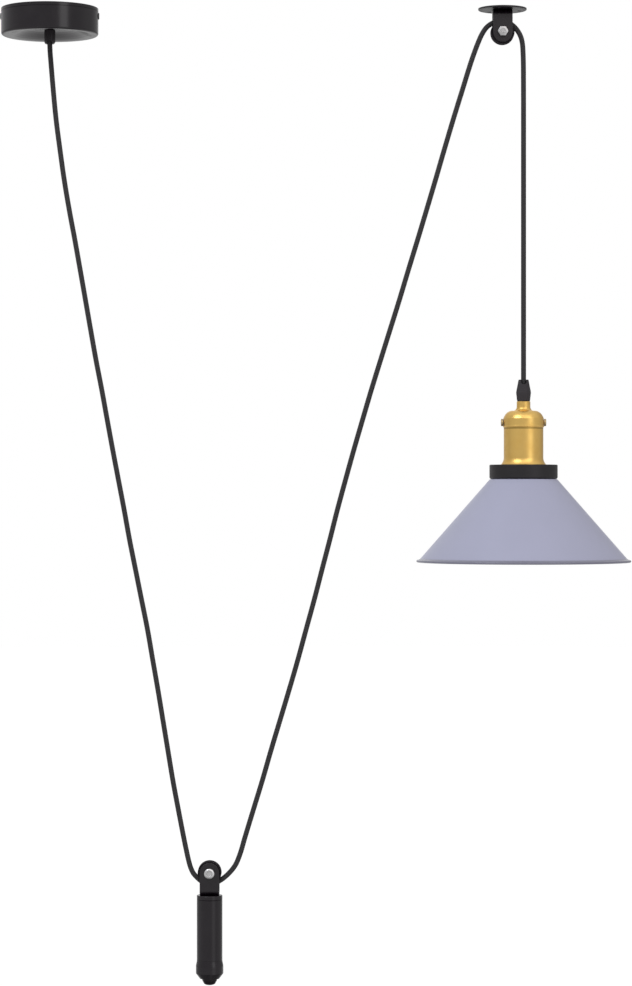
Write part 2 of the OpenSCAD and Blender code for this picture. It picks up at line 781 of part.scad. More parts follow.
module weight_top_cap() color([0.16, 0.16, 0.17]) {
    r = weight_d / 2;
    foot = weight_top - top_cap_h;
    translate([weight_x, 0, 0])
        rotate_extrude()
            polygon(concat([[strap_screw_d / 2 + seat, weight_top]],
                arc(r - 0.8, weight_top - 0.8, 0.8, 90, 0, 5),
                [[r, foot + 0.3], [r - 0.3, foot], [sleeve_bore_r - seat, foot],
                 [sleeve_bore_r - seat, foot - spigot_h], [strap_screw_d / 2 + seat, foot - spigot_h]]));
}

module weight_sleeve() color([0.16, 0.16, 0.17]) {
    r = weight_d / 2;
    translate([weight_x, 0, 0])
        rotate_extrude()
            polygon([[sleeve_bore_r, sleeve_top], [r - 0.3, sleeve_top], [r, sleeve_top - 0.3],
                [r, sleeve_foot + seat], [sleeve_bore_r, sleeve_foot + seat]]);
}

module weight_core() color("dimgray")
    translate([weight_x, 0, 0])
        difference() {
            translate([0, 0, core_foot])
                cylinder(r = sleeve_bore_r - fit, h = core_top - core_foot);
            translate([0, 0, weight_top - strap_screw_l])
                cylinder(r = strap_screw_d / 2 + fit, h = strap_screw_l);
            translate([0, 0, core_foot - 1])
                cylinder(r = stud_d / 2 + fit, h = stud_l + 2);
        }

// The swollen end: it eases out from the sleeve, stands straight and is turned off below
module weight_end_cap() color([0.16, 0.16, 0.17]) {
    r = weight_d / 2;
    big = end_cap_d / 2;
    chamfer = end_cap_h * 0.28;
    foot_r = big - chamfer * 0.76;
    translate([weight_x, 0, 0])
        rotate_extrude()
            polygon(concat([[stud_d / 2 + seat, sleeve_foot + spigot_h],
                [sleeve_bore_r - seat, sleeve_foot + spigot_h], [sleeve_bore_r - seat, sleeve_foot]],
                [for (p = ease([sleeve_foot, r], [sleeve_foot - end_cap_h * 0.36, big])) [p[1], p[0]]],
                arc(big - 1.2, end_cap_foot + chamfer + 0.4, 1.2, 0, -40, 4),
                [[foot_r, end_cap_foot], [stud_d / 2 + seat, end_cap_foot]]));
}

module weight_knob() color([0.16, 0.16, 0.17]) {
    r = knob_d / 2;
    top = end_cap_foot - fit;
    stud_top = sleeve_foot + spigot_h + stud_l;
    translate([weight_x, 0, 0])
        rotate_extrude()
            polygon(concat([[0, stud_top], [stud_d / 2 - 0.5, stud_top], [stud_d / 2, stud_top - 0.5],
                [stud_d / 2, top], [r - 0.3, top], [r, top - 0.3], [r, top - knob_h * 0.28],
                [r * 0.84, top - knob_h * 0.6]],
                [for (p = arc(0, 0, 1, 0, -90, 6))
                    [r * 0.8 * p[0], top - knob_h * 0.66 + knob_h * 0.34 * p[1]]]));
}

// ---- Lamp ----

// A six-sided grip, wide at its waist, notched from front to back where the cord goes in
module lamp_cord_grip() color("black") {
    waist = grip_l * 0.4;
    notch = 5;
    translate([lamp_x, 0, 0])
        difference() {
            union() {
                translate([0, 0, grip_foot])
                    cylinder(r1 = grip_foot_d / 2, r2 = grip_d / 2, h = waist, $fn = 6);
                translate([0, 0, grip_foot + waist - eps])
                    cylinder(r1 = grip_d / 2, r2 = grip_top_d / 2, h = grip_l - waist + eps, $fn = 6);
                translate([0, 0, grip_foot - collar_h])
                    cylinder(r = grip_foot_d / 2 - 0.5, h = collar_h + 1);
            }
            translate([0, 0, grip_foot - collar_h - 1])
                cylinder(r = cord_bore_r, h = grip_l + 4);
            translate([0, 0, grip_foot - collar_h - 1])
                cylinder(r = nipple_d / 2 + fit, h = collar_h + 6.1);
            translate([0, 0, -lamp_drop - notch + cord_bore_r])
                rotate([90, 0, 0])
                    cylinder(r = cord_bore_r, h = grip_d, center = true);
            translate([-cord_bore_r, -grip_d / 2, -lamp_drop - notch + cord_bore_r])
                cube([2 * cord_bore_r, grip_d, notch]);
        }
}

module lamp_nipple() color("goldenrod")
    translate([lamp_x, 0, nipple_foot])
        difference() {
            cylinder(r = nipple_d / 2, h = grip_foot + 5 - nipple_foot);
            translate([0, 0, -1])
                cylinder(r = cord_bore_r, h = grip_l + 20);
        }

module lamp_nipple_nut() color("silver")
    translate([lamp_x, 0, nut_top - nut_h])
        difference() {
            hexagon(nipple_d + 4, nut_h);
            translate([0, 0, -1])
                cylinder(r = nipple_d / 2 + fit, h = nut_h + 2);
        }

// A tag above the nut, with a hole for the earth core
module lamp_earth_tag() color("goldenrod")
    translate([lamp_x, 0, tag_foot])
        difference() {
            intersection() {
                union() {
                    cylinder(r = nipple_d / 2 + 2, h = tag_t);
                    translate([-2.8, -tag_hole_y - 2, 0])
                        cube([5.6, tag_hole_y + 2, tag_t]);
                }
                cylinder(r = tag_hole_y + 1.9, h = tag_t);
            }
            translate([0, 0, -1])
                cylinder(r = nipple_d / 2 + fit, h = tag_t + 2);
            translate([0, -tag_hole_y, -1])
                cylinder(r = core_r + 0.2, h = tag_t + 2);
        }

// The cap: a solid neck, a flare, a domed shoulder and a straight skirt with a lip
module holder_cap() color("goldenrod") {
    neck_r = neck_d / 2;
    cap_r = cap_d / 2;
    bore = nipple_d / 2 + fit;
    dome = [[cap_r - shoulder_w, shoulder_top], [cap_r - 2.5, shoulder_top - 1.2], [cap_r, shoulder_foot]];
    translate([lamp_x, 0, 0])
        difference() {
            rotate_extrude()
                polygon(concat(
                    [[bore, neck_top], [neck_r - 0.4, neck_top], [neck_r, neck_top - 0.4]],
                    arc(neck_r + flare_r, neck_foot, flare_r, 180, 270),
                    bow(dome[0], dome[1], dome[2]),
                    [[cap_r, cap_foot + 2], [cap_r + cap_lip, cap_foot + 1.6],
                     [cap_r + cap_lip, cap_foot + 0.3], [cap_r, cap_foot], [cap_bore_r, cap_foot],
                     [cap_bore_r, shoulder_foot - 0.2]],
                    reversed(bow(dome[0], dome[1], dome[2], cap_wall, 1, quarter - 1)),
                    [[cap_r - shoulder_w, cap_ceiling], [bore, cap_ceiling]]));
            translate([0, 0, clamp_z])
                rotate([0, 90, 0])
                    cylinder(r = clamp_d / 2 + fit, h = 2 * cap_d, center = true);
        }
}

module holder_side_screws() color("darkkhaki")
    translate([lamp_x, 0, clamp_z])
        for (a = [0, 180])
            rotate([0, 0, a])
                translate([cap_d / 2 + cap_lip + fit, 0, 0])
                    rotate([0, 90, 0])
                        slotted_screw(clamp_head_d, clamp_head_h, clamp_d, 3);

// The shell runs straight down, then flares out onto the shade ring
module holder_shell() color("goldenrod") {
    r = shell_r;
    w = shell_wall;
    flare = flare_d / 2 - r;
    translate([lamp_x, 0, 0])
        difference() {
            rotate_extrude()
                polygon(concat([[r - w, shell_top], [r, shell_top]],
                    bow([r, shell_foot + 7], [r + 0.1, shell_foot + 3.6], [r + flare, shell_foot + 0.4]),
                    [[r + flare, shell_foot], [r - w, shell_foot]]));
            translate([0, 0, clamp_z])
                rotate([0, 90, 0])
                    cylinder(r = clamp_d / 2 + fit, h = 2 * cap_d, center = true);
        }
}

// The insulating skirt that carries the socket and the shade, with a lip at its mouth
module holder_skirt() color([0.12, 0.12, 0.12])
    translate([lamp_x, 0, 0])
        rotate_extrude()
            polygon([[skirt_r - skirt_wall, skirt_top], [skirt_r, skirt_top], [skirt_r, skirt_foot + 0.6],
                [skirt_r - 0.6, skirt_foot], [socket_d / 2 + screw_wall + 0.2, skirt_foot],
                [socket_d / 2 + screw_wall + 0.2, skirt_foot + 2],
                [skirt_r - skirt_wall, skirt_foot + 2]]);

// The porcelain insert: a thick base and a sleeve round the screw shell
module socket_insert() color("white")
    translate([lamp_x, 0, 0])
        difference() {
            translate([0, 0, socket_foot])
                cylinder(r = insert_outer_r, h = insert_top - socket_foot);
            translate([0, 0, socket_foot - 1])
                cylinder(r = socket_d / 2 + screw_wall + seat, h = socket_l + 1 + seat);
            translate([0, 0, insert_base - 1])
                cylinder(r = contact_r + 0.5, h = contact_well + 1);
            translate([0, 0, insert_base])
                cylinder(r = contact_stem_r + running, h = 20);
        }

module screw_shell() color("goldenrod")
    translate([lamp_x, 0, socket_foot])
        difference() {
            cylinder(r = socket_d / 2 + screw_wall, h = socket_l);
            translate([0, 0, -1])
                cylinder(r = socket_d / 2, h = socket_l + 2);
            translate([0, 0, socket_l - relief_l])
                cylinder(r = socket_d / 2 + screw_wall / 2, h = relief_l + 1);
        }

// A sprung plunger: a domed face, a stem through the insert and a head above it
module centre_contact() color("goldenrod")
    translate([lamp_x, 0, 0])
        rotate_extrude()
            polygon(concat([[0, insert_top + 1.2], [2.4, insert_top + 1.2], [2.4, insert_top + 0.2],
                [contact_stem_r, insert_top + 0.2], [contact_stem_r, contact_face + 1.2],
                [contact_r, contact_face + 1.2]],
                [for (p = arc(0, 0, 1, 0, -90, 5)) [contact_r * p[0], contact_face + 0.3 + 1.1 * p[1]]]));

module contact_spring() color("silver") {
    low = contact_face + 1.2 + spring_wire_r + 0.05;
    high = insert_base + contact_well - spring_wire_r - 0.05;
    steps = 8 * spring_turns;
    translate([lamp_x, 0, 0])
        tube([for (i = [0 : steps]) let (a = 45 * i)
            [(contact_stem_r + 1) * cos(a), (contact_stem_r + 1) * sin(a), low + (high - low) * i / steps]],
            spring_wire_r, 6, [0, 0, 1]);
}

module lamp_terminals() color("goldenrod")
    for (x = [-1, 1])
        translate([lamp_x + x * lamp_terminal_x, 0, insert_top + fit])
            difference() {
                translate([-lamp_terminal[0] / 2, -lamp_terminal[1] / 2, 0])
                    cube(lamp_terminal);
                translate([0, 0, 2])
                    cylinder(r = core_r + 0.3, h = lamp_terminal[2]);
                translate([0, -lamp_terminal[1], lamp_terminal[2] / 2])
                    rotate([-90, 0, 0])
                        cylinder(r = 1.5 + fit, h = lamp_terminal[1] - core_r - 0.3);
            }

module lamp_terminal_screws() color("silver")
    for (x = [-1, 1])
        translate([lamp_x + x * lamp_terminal_x, -lamp_terminal[1] / 2 - fit,
            insert_top + fit + lamp_terminal[2] / 2])
            rotate([90, 0, 0])
                slotted_screw(4.6, 2, 3, lamp_terminal[1] / 2 - core_r - 0.5);

lamp_core_top = lamp_route[len(lamp_route) - 1][1] - fit;
module lamp_core(a, rest) {
    start = [core_ring_r * cos(a), core_ring_r * sin(a), lamp_core_top];
    translate([lamp_x, 0, 0])
        tube(concat([start, start - [0, 0, 4]], rest), core_r, core_sides, [0, 1, 0]);
}

module lamp_core_live() color("saddlebrown")
    lamp_core(150, [[-3, 2, lamp_core_top - 9], [-7, 2.5, lamp_core_top - 17],
        [-lamp_terminal_x, 1, lamp_core_top - 25], [-lamp_terminal_x, 0, insert_top + lamp_terminal[2] + 1],
        [-lamp_terminal_x, 0, insert_top + 2.6]]);

module lamp_core_neutral() color("royalblue")
    lamp_core(30, [[3, 2, lamp_core_top - 9], [7, 2.5, lamp_core_top - 17],
        [lamp_terminal_x, 1, lamp_core_top - 25], [lamp_terminal_x, 0, insert_top + lamp_terminal[2] + 1],
        [lamp_terminal_x, 0, insert_top + 2.6]]);

module lamp_core_earth() color("yellowgreen") {
    start = [0, -core_ring_r, lamp_core_top];
    translate([lamp_x, 0, 0])
        tube([start, start - [0, 0, 2.6], [0, -2.2, nipple_foot - 3.6], [0, -4.6, nipple_foot - 4.8],
            [0, -7.4, nipple_foot - 4.4], [0, -9.2, nipple_foot - 2.4], [0, -tag_hole_y, nipple_foot],
            [0, -tag_hole_y, tag_foot + tag_t / 2]],
            core_r, core_sides, [1, 0, 0]);
}

// ---- Shade ----

module shade_ring() color([0.08, 0.08, 0.08]) {
    r = ring_d / 2;
    foot = ring_top - ring_h;
    translate([lamp_x, 0, 0])
        rotate_extrude()
            polygon(concat([[skirt_r + seat, ring_top]],
                arc(r - 1, ring_top - 1, 1, 90, 0, 5),
                arc(r - 2, foot + 2, 2, 0, -90, 6),
                [[r - 2 - ring_wall, foot], [r - ring_wall, foot + 4], [r - ring_wall, ring_top - ring_wall],
                 [skirt_r + seat, ring_top - ring_wall]]));
}

// One spun sheet: a flat top, a straight cone and a rim that bends outwards to a rolled edge
module shade() color([0.66, 0.65, 0.76]) {
    top_r = shade_top_d / 2;
    slope = atan2(shade_h, shade_d / 2 - top_r);
    bend = 1.5;
    roll = roll_d / 2;
    foot = [shade_d / 2, shade_top - shade_h];
    roll_at = foot + [rim_flare - roll, roll - rim_h];
    roll_top = roll_at + roll * [cos(100), sin(100)];
    drop = 0.65 * (foot[1] - roll_top[1]);
    turn = foot + [drop / tan(slope), -drop];
    translate([lamp_x, 0, 0])
        rotate_extrude()
            polygon(concat([[skirt_r + seat, shade_top]],
                arc(top_r - bend, shade_top - bend, bend, 90, 90 - slope, 4),
                bow(foot, turn, roll_top, 0, 0, quarter - 1),
                arc(roll_at[0], roll_at[1], roll, 100, -190, 16),
                reversed(bow(foot, turn, roll_top, shade_wall, 0, quarter - 3)),
                arc(top_r - bend, shade_top - bend, bend - shade_wall, 90 - slope, 90, 4),
                [[skirt_r + seat, shade_top - shade_wall]]));
}

// The ring nut that clamps the shade and the black ring to the skirt
module shade_nut() color([0.12, 0.12, 0.12]) {
    top = shade_top - shade_wall - seat;
    r = skirt_r + 8;
    translate([lamp_x, 0, 0])
        difference() {
            rotate_extrude()
                polygon([[skirt_r + seat, top], [r, top], [r, top - 2], [r - 3.4, top - nut_ring_h],
                    [skirt_r + seat, top - nut_ring_h]]);
            for (a = [0 : 30 : 330])
                rotate([0, 0, a])
                    translate([r + 0.4, 0, top - nut_ring_h - 1])
                        cylinder(r = 1.6, h = nut_ring_h + 2);
        }
}

rose_bracket();
rose_cup();
rose_side_screws();
rose_nipple();
rose_nut();
rose_cord_grip();
terminal_block();
terminal_inserts();
terminal_screws();
terminal_fixing_screw();
earth_screw();
rose_core_live();
rose_core_neutral();
rose_core_earth();
pulley_plate();
pulley_strap();
pulley_rivet();
pulley_axle_bolt();
pulley_axle_nut();
pulley_axle_washers();
ceiling_wheel();
ceiling_wheel_bush();
cord_to_weight();
cord_round_weight_wheel();
cord_to_pulley();
cord_over_ceiling_wheel();
cord_to_lamp();
weight_strap();
weight_strap_screw();
weight_axle_pin();
weight_axle_nut();
weight_axle_washers();
weight_top_cap();
weight_sleeve();
weight_core();
weight_end_cap();
weight_knob();
weight_wheel();
weight_wheel_bush();
lamp_cord_grip();
lamp_nipple();
lamp_nipple_nut();
lamp_earth_tag();
holder_cap();
holder_side_screws();
holder_shell();
holder_skirt();
socket_insert();
screw_shell();
centre_contact();
contact_spring();
lamp_terminals();
lamp_terminal_screws();
lamp_core_live();
lamp_core_neutral();
lamp_core_earth();
shade_ring();
shade();
shade_nut();
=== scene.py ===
"""Rise and fall pendant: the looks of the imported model, in one shared frame, in metres.

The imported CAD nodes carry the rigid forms. This script gives each of them a finish, lays the
braided cord, makes the pieces that need a softer or finer form, and sets up the camera, floor and
light.
"""

from __future__ import annotations

import json
import logging
import math
from dataclasses import dataclass, field
from enum import Enum
from typing import Dict, Iterable, List, Optional, Sequence, Tuple, Union

import bmesh
import bpy
from mathutils import Matrix, Vector

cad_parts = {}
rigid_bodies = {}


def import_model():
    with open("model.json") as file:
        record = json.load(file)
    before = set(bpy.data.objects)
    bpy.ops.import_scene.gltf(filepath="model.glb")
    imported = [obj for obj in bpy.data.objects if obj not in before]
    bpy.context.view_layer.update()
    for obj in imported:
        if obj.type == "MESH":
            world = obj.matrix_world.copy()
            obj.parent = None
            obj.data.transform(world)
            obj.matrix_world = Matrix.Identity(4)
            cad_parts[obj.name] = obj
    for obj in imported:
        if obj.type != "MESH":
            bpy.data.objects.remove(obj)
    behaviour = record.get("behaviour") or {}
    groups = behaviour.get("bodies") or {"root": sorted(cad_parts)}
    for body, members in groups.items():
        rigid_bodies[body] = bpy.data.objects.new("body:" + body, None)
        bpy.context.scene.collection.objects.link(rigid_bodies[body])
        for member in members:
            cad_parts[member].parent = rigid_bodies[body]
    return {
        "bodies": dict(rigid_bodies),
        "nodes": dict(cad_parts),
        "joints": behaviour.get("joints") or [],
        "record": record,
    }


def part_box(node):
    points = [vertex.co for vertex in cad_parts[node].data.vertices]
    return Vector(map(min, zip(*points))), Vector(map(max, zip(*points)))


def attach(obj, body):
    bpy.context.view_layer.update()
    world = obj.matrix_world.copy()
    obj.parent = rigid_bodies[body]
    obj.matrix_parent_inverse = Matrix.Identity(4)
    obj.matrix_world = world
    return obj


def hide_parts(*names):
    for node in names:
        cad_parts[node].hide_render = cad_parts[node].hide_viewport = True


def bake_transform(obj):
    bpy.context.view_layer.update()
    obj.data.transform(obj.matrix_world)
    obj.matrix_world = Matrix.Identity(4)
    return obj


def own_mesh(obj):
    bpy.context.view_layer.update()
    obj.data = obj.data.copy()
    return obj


log = logging.getLogger("pendant")

Point = Tuple[float, float, float]
Colour = Tuple[float, float, float]
Outline = Sequence[Tuple[float, float]]
Key = Union[str, int]
Mesh = bmesh.types.BMesh
Vert = bmesh.types.BMVert
Edge = bmesh.types.BMEdge
Piece = bpy.types.Object
Material = bpy.types.Material

MM = 0.001
LAMP_X = 0.4935
PULLEY_X = 0.4715
WEIGHT_X = 0.1665
WEIGHT_AXLE_Z = -0.900
WHITE = (1.0, 1.0, 1.0)


def srgb(red: float, green: float, blue: float) -> Colour:
    """Turn a screen colour, 0 to 255 a channel, into the linear colour that shaders take.

    Args:
        red: Red, 0 to 255.
        green: Green, 0 to 255.
        blue: Blue, 0 to 255.

    Returns:
        The linear colour.
    """

    def channel(value: float) -> float:
        """Undo the screen curve of one channel."""
        value /= 255.0
        return value / 12.92 if value <= 0.04045 else ((value + 0.055) / 1.055) ** 2.4

    return (channel(red), channel(green), channel(blue))


def darker(colour: Colour, share: float) -> Colour:
    """The same colour with a share of its light."""
    return tuple(share * part for part in colour)


# ---------------------------------------------------------------------------
# Shader maths
# ---------------------------------------------------------------------------


class Wire:
    """One output of a shader node, which takes part in sums as a number does."""

    def __init__(self, bench: Bench, socket: bpy.types.NodeSocket) -> None:
        """Hold the socket and the bench that adds nodes for it."""
        self.bench = bench
        self.socket = socket

    def _sum(self, operation: str, first: Operand, second: Operand) -> Wire:
        """Add one Math node."""
        return self.bench.node("ShaderNodeMath", {"operation": operation}, {0: first, 1: second})

    def __add__(self, other: Operand) -> Wire:
        """Sum of the two."""
        return self._sum("ADD", self, other)

    __radd__ = __add__

    def __sub__(self, other: Operand) -> Wire:
        """This less the other."""
        return self._sum("SUBTRACT", self, other)

    def __rsub__(self, other: Operand) -> Wire:
        """The other less this."""
        return self._sum("SUBTRACT", other, self)

    def __mul__(self, other: Operand) -> Wire:
        """Product of the two."""
        return self._sum("MULTIPLY", self, other)

    __rmul__ = __mul__

    def __truediv__(self, other: Operand) -> Wire:
        """This over the other."""
        return self._sum("DIVIDE", self, other)

    def __pow__(self, other: Operand) -> Wire:
        """This to the power of the other."""
        return self._sum("POWER", self, other)

    def apply(self, operation: str, other: Operand = 0.0) -> Wire:
        """Any other Math operation on this value, with a second value where it takes one."""
        return self._sum(operation, self, other)


Operand = Union[Wire, float, int]
Input = Union[Wire, float, int, Sequence[float]]


@dataclass(frozen=True)
class Layer:
    """One layer of fractal noise over a surface, at so many grains a metre."""

    scale: float
    octaves: float = 2.0
    rough: float = 0.5


@dataclass(frozen=True)
class Fade:
    """A soft rise from 0 at one value to an amount at another."""

    start: float
    end: float
    amount: float = 1.0

    def of(self, value: Wire) -> Wire:
        """How far the rise has come at a value."""
        risen = value.bench.node("ShaderNodeMapRange", {"interpolation_type": "SMOOTHSTEP"},
                                 {"Value": value, "From Min": self.start, "From Max": self.end})
        return risen if self.amount == 1.0 else risen * self.amount


EDGE = Fade(-0.0001, 0.0001)
MIDDLE = 0.5
NEVER_ZERO = 0.0001


class Bench:
    """One node tree, of a material or of the world, with the few calls that the finishes need."""

    def __init__(self, tree: bpy.types.NodeTree, material: Optional[Material] = None) -> None:
        """Take a tree and empty it."""
        self.tree = tree
        self.tree.nodes.clear()
        self._places: Optional[Wire] = None
        self._material = material

    @classmethod
    def for_material(cls, name: str) -> Bench:
        """Start a new material.

        Args:
            name: The material's name.

        Returns:
            The bench that holds its tree.
        """
        material = bpy.data.materials.new(name)
        material.use_nodes = True
        return cls(material.node_tree, material)

    def node(self, kind: str, settings: Dict[str, object], inputs: Dict[Key, Input],
             output: Key = 0) -> Wire:
        """Add any node.

        Args:
            kind: The node's type, such as ShaderNodeTexNoise.
            settings: Its settings, set before its sockets.
            inputs: Values or wires by socket name or number.
            output: The output that is wanted.

        Returns:
            The output as a wire.
        """
        made = self.tree.nodes.new(kind)
        for key, value in settings.items():
            setattr(made, key, value)
        for key, value in inputs.items():
            socket = made.inputs[key]
            if isinstance(value, Wire):
                self.tree.links.new(value.socket, socket)
            elif isinstance(value, (int, float)):
                socket.default_value = value
            else:
                wide = len(socket.default_value) == 4 and len(value) == 3
                socket.default_value = (*value, 1.0) if wide else value
        return Wire(self, made.outputs[output])

    def outputs(self, kind: str, inputs: Dict[Key, Input], *names: Key) -> List[Wire]:
        """Add a node of which several outputs are wanted.

        Args:
            kind: The node's type.
            inputs: Values or wires by socket name or number.
            *names: The outputs.

        Returns:
            One wire for each output.
        """
        sockets = self.node(kind, {}, inputs).socket.node.outputs
        return [Wire(self, sockets[name]) for name in names]

    def places(self) -> Wire:
        """The point on the object, in metres, in the shared frame."""
        if self._places is None:
            self._places = self.node("ShaderNodeTexCoord", {}, {}, "Object")
        return self._places

    def moved(self, centre: Point = (0.0, 0.0, 0.0), scale: Point = (1.0, 1.0, 1.0)) -> Wire:
        """The point on the object, measured from a centre and stretched along each axis."""
        shifted = self.node("ShaderNodeVectorMath", {"operation": "SUBTRACT"},
                            {0: self.places(), 1: centre})
        return self.node("ShaderNodeMapping", {"vector_type": "POINT"},
                         {"Vector": shifted, "Scale": scale})

    def split(self, vector: Wire) -> List[Wire]:
        """The three parts of a vector."""
        return self.outputs("ShaderNodeSeparateXYZ", {0: vector}, 0, 1, 2)

    def length(self, first: Wire, second: Wire) -> Wire:
        """The distance that two offsets at right angles give."""
        return (first * first + second * second).apply("SQRT")

    def noise(self, layer: Layer, at: Optional[Wire] = None) -> Wire:
        """Fractal noise from 0 to 1, at the point on the object unless told where."""
        return self.node("ShaderNodeTexNoise", {"normalize": True}, {
            "Vector": self.places() if at is None else at, "Scale": layer.scale,
            "Detail": layer.octaves, "Roughness": layer.rough})

    def mix(self, factor: Operand, first: Input, second: Input) -> Wire:
        """A mix of two colours: the first where the factor is 0, the second where it is 1."""
        return self.node("ShaderNodeMix", {"data_type": "RGBA", "clamp_factor": True},
                         {0: factor, 6: first, 7: second}, 2)

    def bump(self, height: Wire, distance: float, strength: float,
             below: Optional[Wire] = None) -> Wire:
        """A bump from a height.

        Args:
            height: The height, 0 to 1.
            distance: What a height of 1 stands for, in metres.
            strength: How much of it shows.
            below: A bump that this one lies on.

        Returns:
            The normal.
        """
        inputs: Dict[Key, Input] = {"Height": height, "Distance": distance, "Strength": strength}
        if below is not None:
            inputs["Normal"] = below
        return self.node("ShaderNodeBump", {}, inputs, "Normal")

    def finish(self, **inputs: Input) -> Material:
        """Close the tree with a Principled shader, whose sockets have _ for each space."""
        named = {key.replace("_", " "): value for key, value in inputs.items()}
        return self.close(self.node("ShaderNodeBsdfPrincipled", {}, named), "Material")

    def close(self, surface: Wire, kind: str) -> Optional[Material]:
        """Lead a shader to the tree's output.

        Args:
            surface: The shader.
            kind: What the tree belongs to, Material or World.

        Returns:
            The material, where it is one.
        """
        output = self.tree.nodes.new("ShaderNodeOutput" + kind)
        self.tree.links.new(surface.socket, output.inputs["Surface"])
        return self._material


# ---------------------------------------------------------------------------
# Finishes
# ---------------------------------------------------------------------------


@dataclass(frozen=True)
class Finish:
    """A named finish with its main colour."""

    name: str
    colour: Colour

    def make(self) -> Material:
        """Build the material."""
        raise NotImplementedError


@dataclass(frozen=True)
class Enamel(Finish):
    """Sprayed and baked enamel on metal."""

    roughness: float
    ior: float
    worn: Colour = (0.024, 0.02, 0.024)
    peel: Layer = Layer(900.0)
    peel_depth: float = 0.00001
    peel_shown: float = 0.6
    cloud: Layer = Layer(60.0, 3.0, 0.6)
    clouded: Fade = Fade(0.4, 0.8, 0.16)
    cloud_gloss: float = 0.1
    dust: Layer = Layer(2600.0, 1.0)
    dusted: Fade = Fade(0.66, 0.74)
    dust_tint: float = 0.3
    dust_gloss: float = 0.12

    def make(self) -> Material:
        """Build the material: a faint peel, soft dust and slightly uneven gloss.

        Returns:
            The material.
        """
        bench = Bench.for_material(self.name)
        cloud = bench.noise(self.cloud)
        dust = self.dusted.of(bench.noise(self.dust))
        tint = self.clouded.of(cloud) + dust * self.dust_tint
        colour = bench.mix(tint, self.colour, self.worn)
        rough = self.roughness + (cloud - MIDDLE) * self.cloud_gloss + dust * self.dust_gloss
        normal = bench.bump(bench.noise(self.peel), self.peel_depth, self.peel_shown)
        return bench.finish(Base_Color=colour, Roughness=rough, IOR=self.ior, Normal=normal)


@dataclass(frozen=True)
class Moulded(Finish):
    """Moulded plastic with a fine spark-eroded grain, and turned rings where they have a depth."""

    light: Colour
    roughness: float
    ior: float = 1.47
    ring_depth: float = 0.0
    grain: Layer = Layer(2400.0, 2.0, 0.6)
    grain_depth: float = 0.00003
    grain_shown: float = 0.7
    grain_tint: float = 0.1
    flow: Layer = Layer(45.0, 3.0, 0.55)
    flow_stretch: Point = (1.0, 1.0, 3.0)
    flowed: Fade = Fade(0.35, 0.75, 0.45)
    flow_gloss: float = 0.18
    ring: Layer = Layer(520.0, 3.0, 0.65)
    ring_stretch: Point = (0.05, 0.05, 1.0)
    ringed: Fade = Fade(0.35, 0.7, 0.7)
    ring_shown: float = 0.8

    def make(self) -> Material:
        """Build the material: grain, faint flow marks and, where wanted, turned rings.

        Returns:
            The material.
        """
        bench = Bench.for_material(self.name)
        grain = bench.noise(self.grain)
        flow = bench.noise(self.flow, bench.moved(scale=self.flow_stretch))
        tint = self.flowed.of(flow) + grain * self.grain_tint
        colour = bench.mix(tint, self.colour, self.light)
        normal = bench.bump(grain, self.grain_depth, self.grain_shown)
        if self.ring_depth > 0.0:
            ring = bench.noise(self.ring, bench.moved(scale=self.ring_stretch))
            normal = bench.bump(ring, self.ring_depth, self.ring_shown, normal)
            colour = bench.mix(self.ringed.of(ring), self.colour, colour)
        rough = self.roughness + (flow - MIDDLE) * self.flow_gloss
        return bench.finish(Base_Color=colour, Roughness=rough, IOR=self.ior, Normal=normal)


class Grain(Enum):
    """The way that a metal surface was worked, with its tool lines."""

    ROLLED = Layer(1800.0, 2.0, 0.6)
    TURNED_Z = Layer(1500.0, 2.0, 0.6)
    TURNED_Y = Layer(2600.0, 2.0, 0.6)


@dataclass(frozen=True)
class Metal(Finish):
    """Bare or plated metal, with an optional band of painted shade between two heights."""

    tarnish: Colour
    roughness: float
    grain: Grain = Grain.ROLLED
    line_depth: float = 0.000006
    centre: Point = (0.0, 0.0, 0.0)
    # An optional band of painted shade, as under a lip: its heights, edge, strength and darkness.
    painted_shade_band: Optional[Tuple[float, float]] = None
    painted_shade_band_edge: float = 0.0007
    painted_shade_band_tint: float = 0.55
    painted_shade_band_light: float = 0.3
    streak: Point = (0.15, 1.0, 1.0)
    line_shown: float = 0.8
    line_gloss: float = 0.1
    stain_gloss: float = 0.16
    stain: Layer = Layer(70.0, 4.0, 0.6)
    stained: Fade = Fade(0.38, 0.78, 0.5)
    spots: Layer = Layer(420.0, 3.0, 0.6)
    spotted: Fade = Fade(0.6, 0.8, 0.18)

    def make(self) -> Material:
        """Build the material: tool lines that follow the way it was worked, and light tarnish.

        Returns:
            The material.
        """
        bench = Bench.for_material(self.name)
        lines = self._lines(bench)
        amount = self.stained.of(bench.noise(self.stain)) + self.spotted.of(bench.noise(self.spots))
        colour = bench.mix(amount, self.colour, self.tarnish)
        # Painted shade: the band between the two heights is darkened, as if shaded under a lip.
        if self.painted_shade_band is not None:
            low, high = self.painted_shade_band
            z = bench.split(bench.places())[2]
            shaded_band = Fade(low, low + self.painted_shade_band_edge).of(z) * EDGE.of(high - z)
            dark = darker(self.tarnish, self.painted_shade_band_light)
            colour = bench.mix(shaded_band * self.painted_shade_band_tint, colour, dark)
        rough = self.roughness + (lines - MIDDLE) * self.line_gloss + amount * self.stain_gloss
        normal = bench.bump(lines, self.line_depth, self.line_shown)
        return bench.finish(Base_Color=colour, Metallic=1.0, Roughness=rough, Normal=normal)

    def _lines(self, bench: Bench) -> Wire:
        """The tool lines: rings for turned pieces and streaks for rolled sheet.

        Args:
            bench: The material's bench.

        Returns:
            The height of the lines, 0 to 1.
        """
        if self.grain is Grain.ROLLED:
            return bench.noise(self.grain.value, bench.moved(self.centre, self.streak))
        x, y, z = bench.split(bench.moved(self.centre))
        across, along = (y, z) if self.grain is Grain.TURNED_Z else (z, y)
        rings = bench.node("ShaderNodeCombineXYZ", {}, {0: bench.length(x, across), 2: along})
        return bench.noise(self.grain.value, rings)


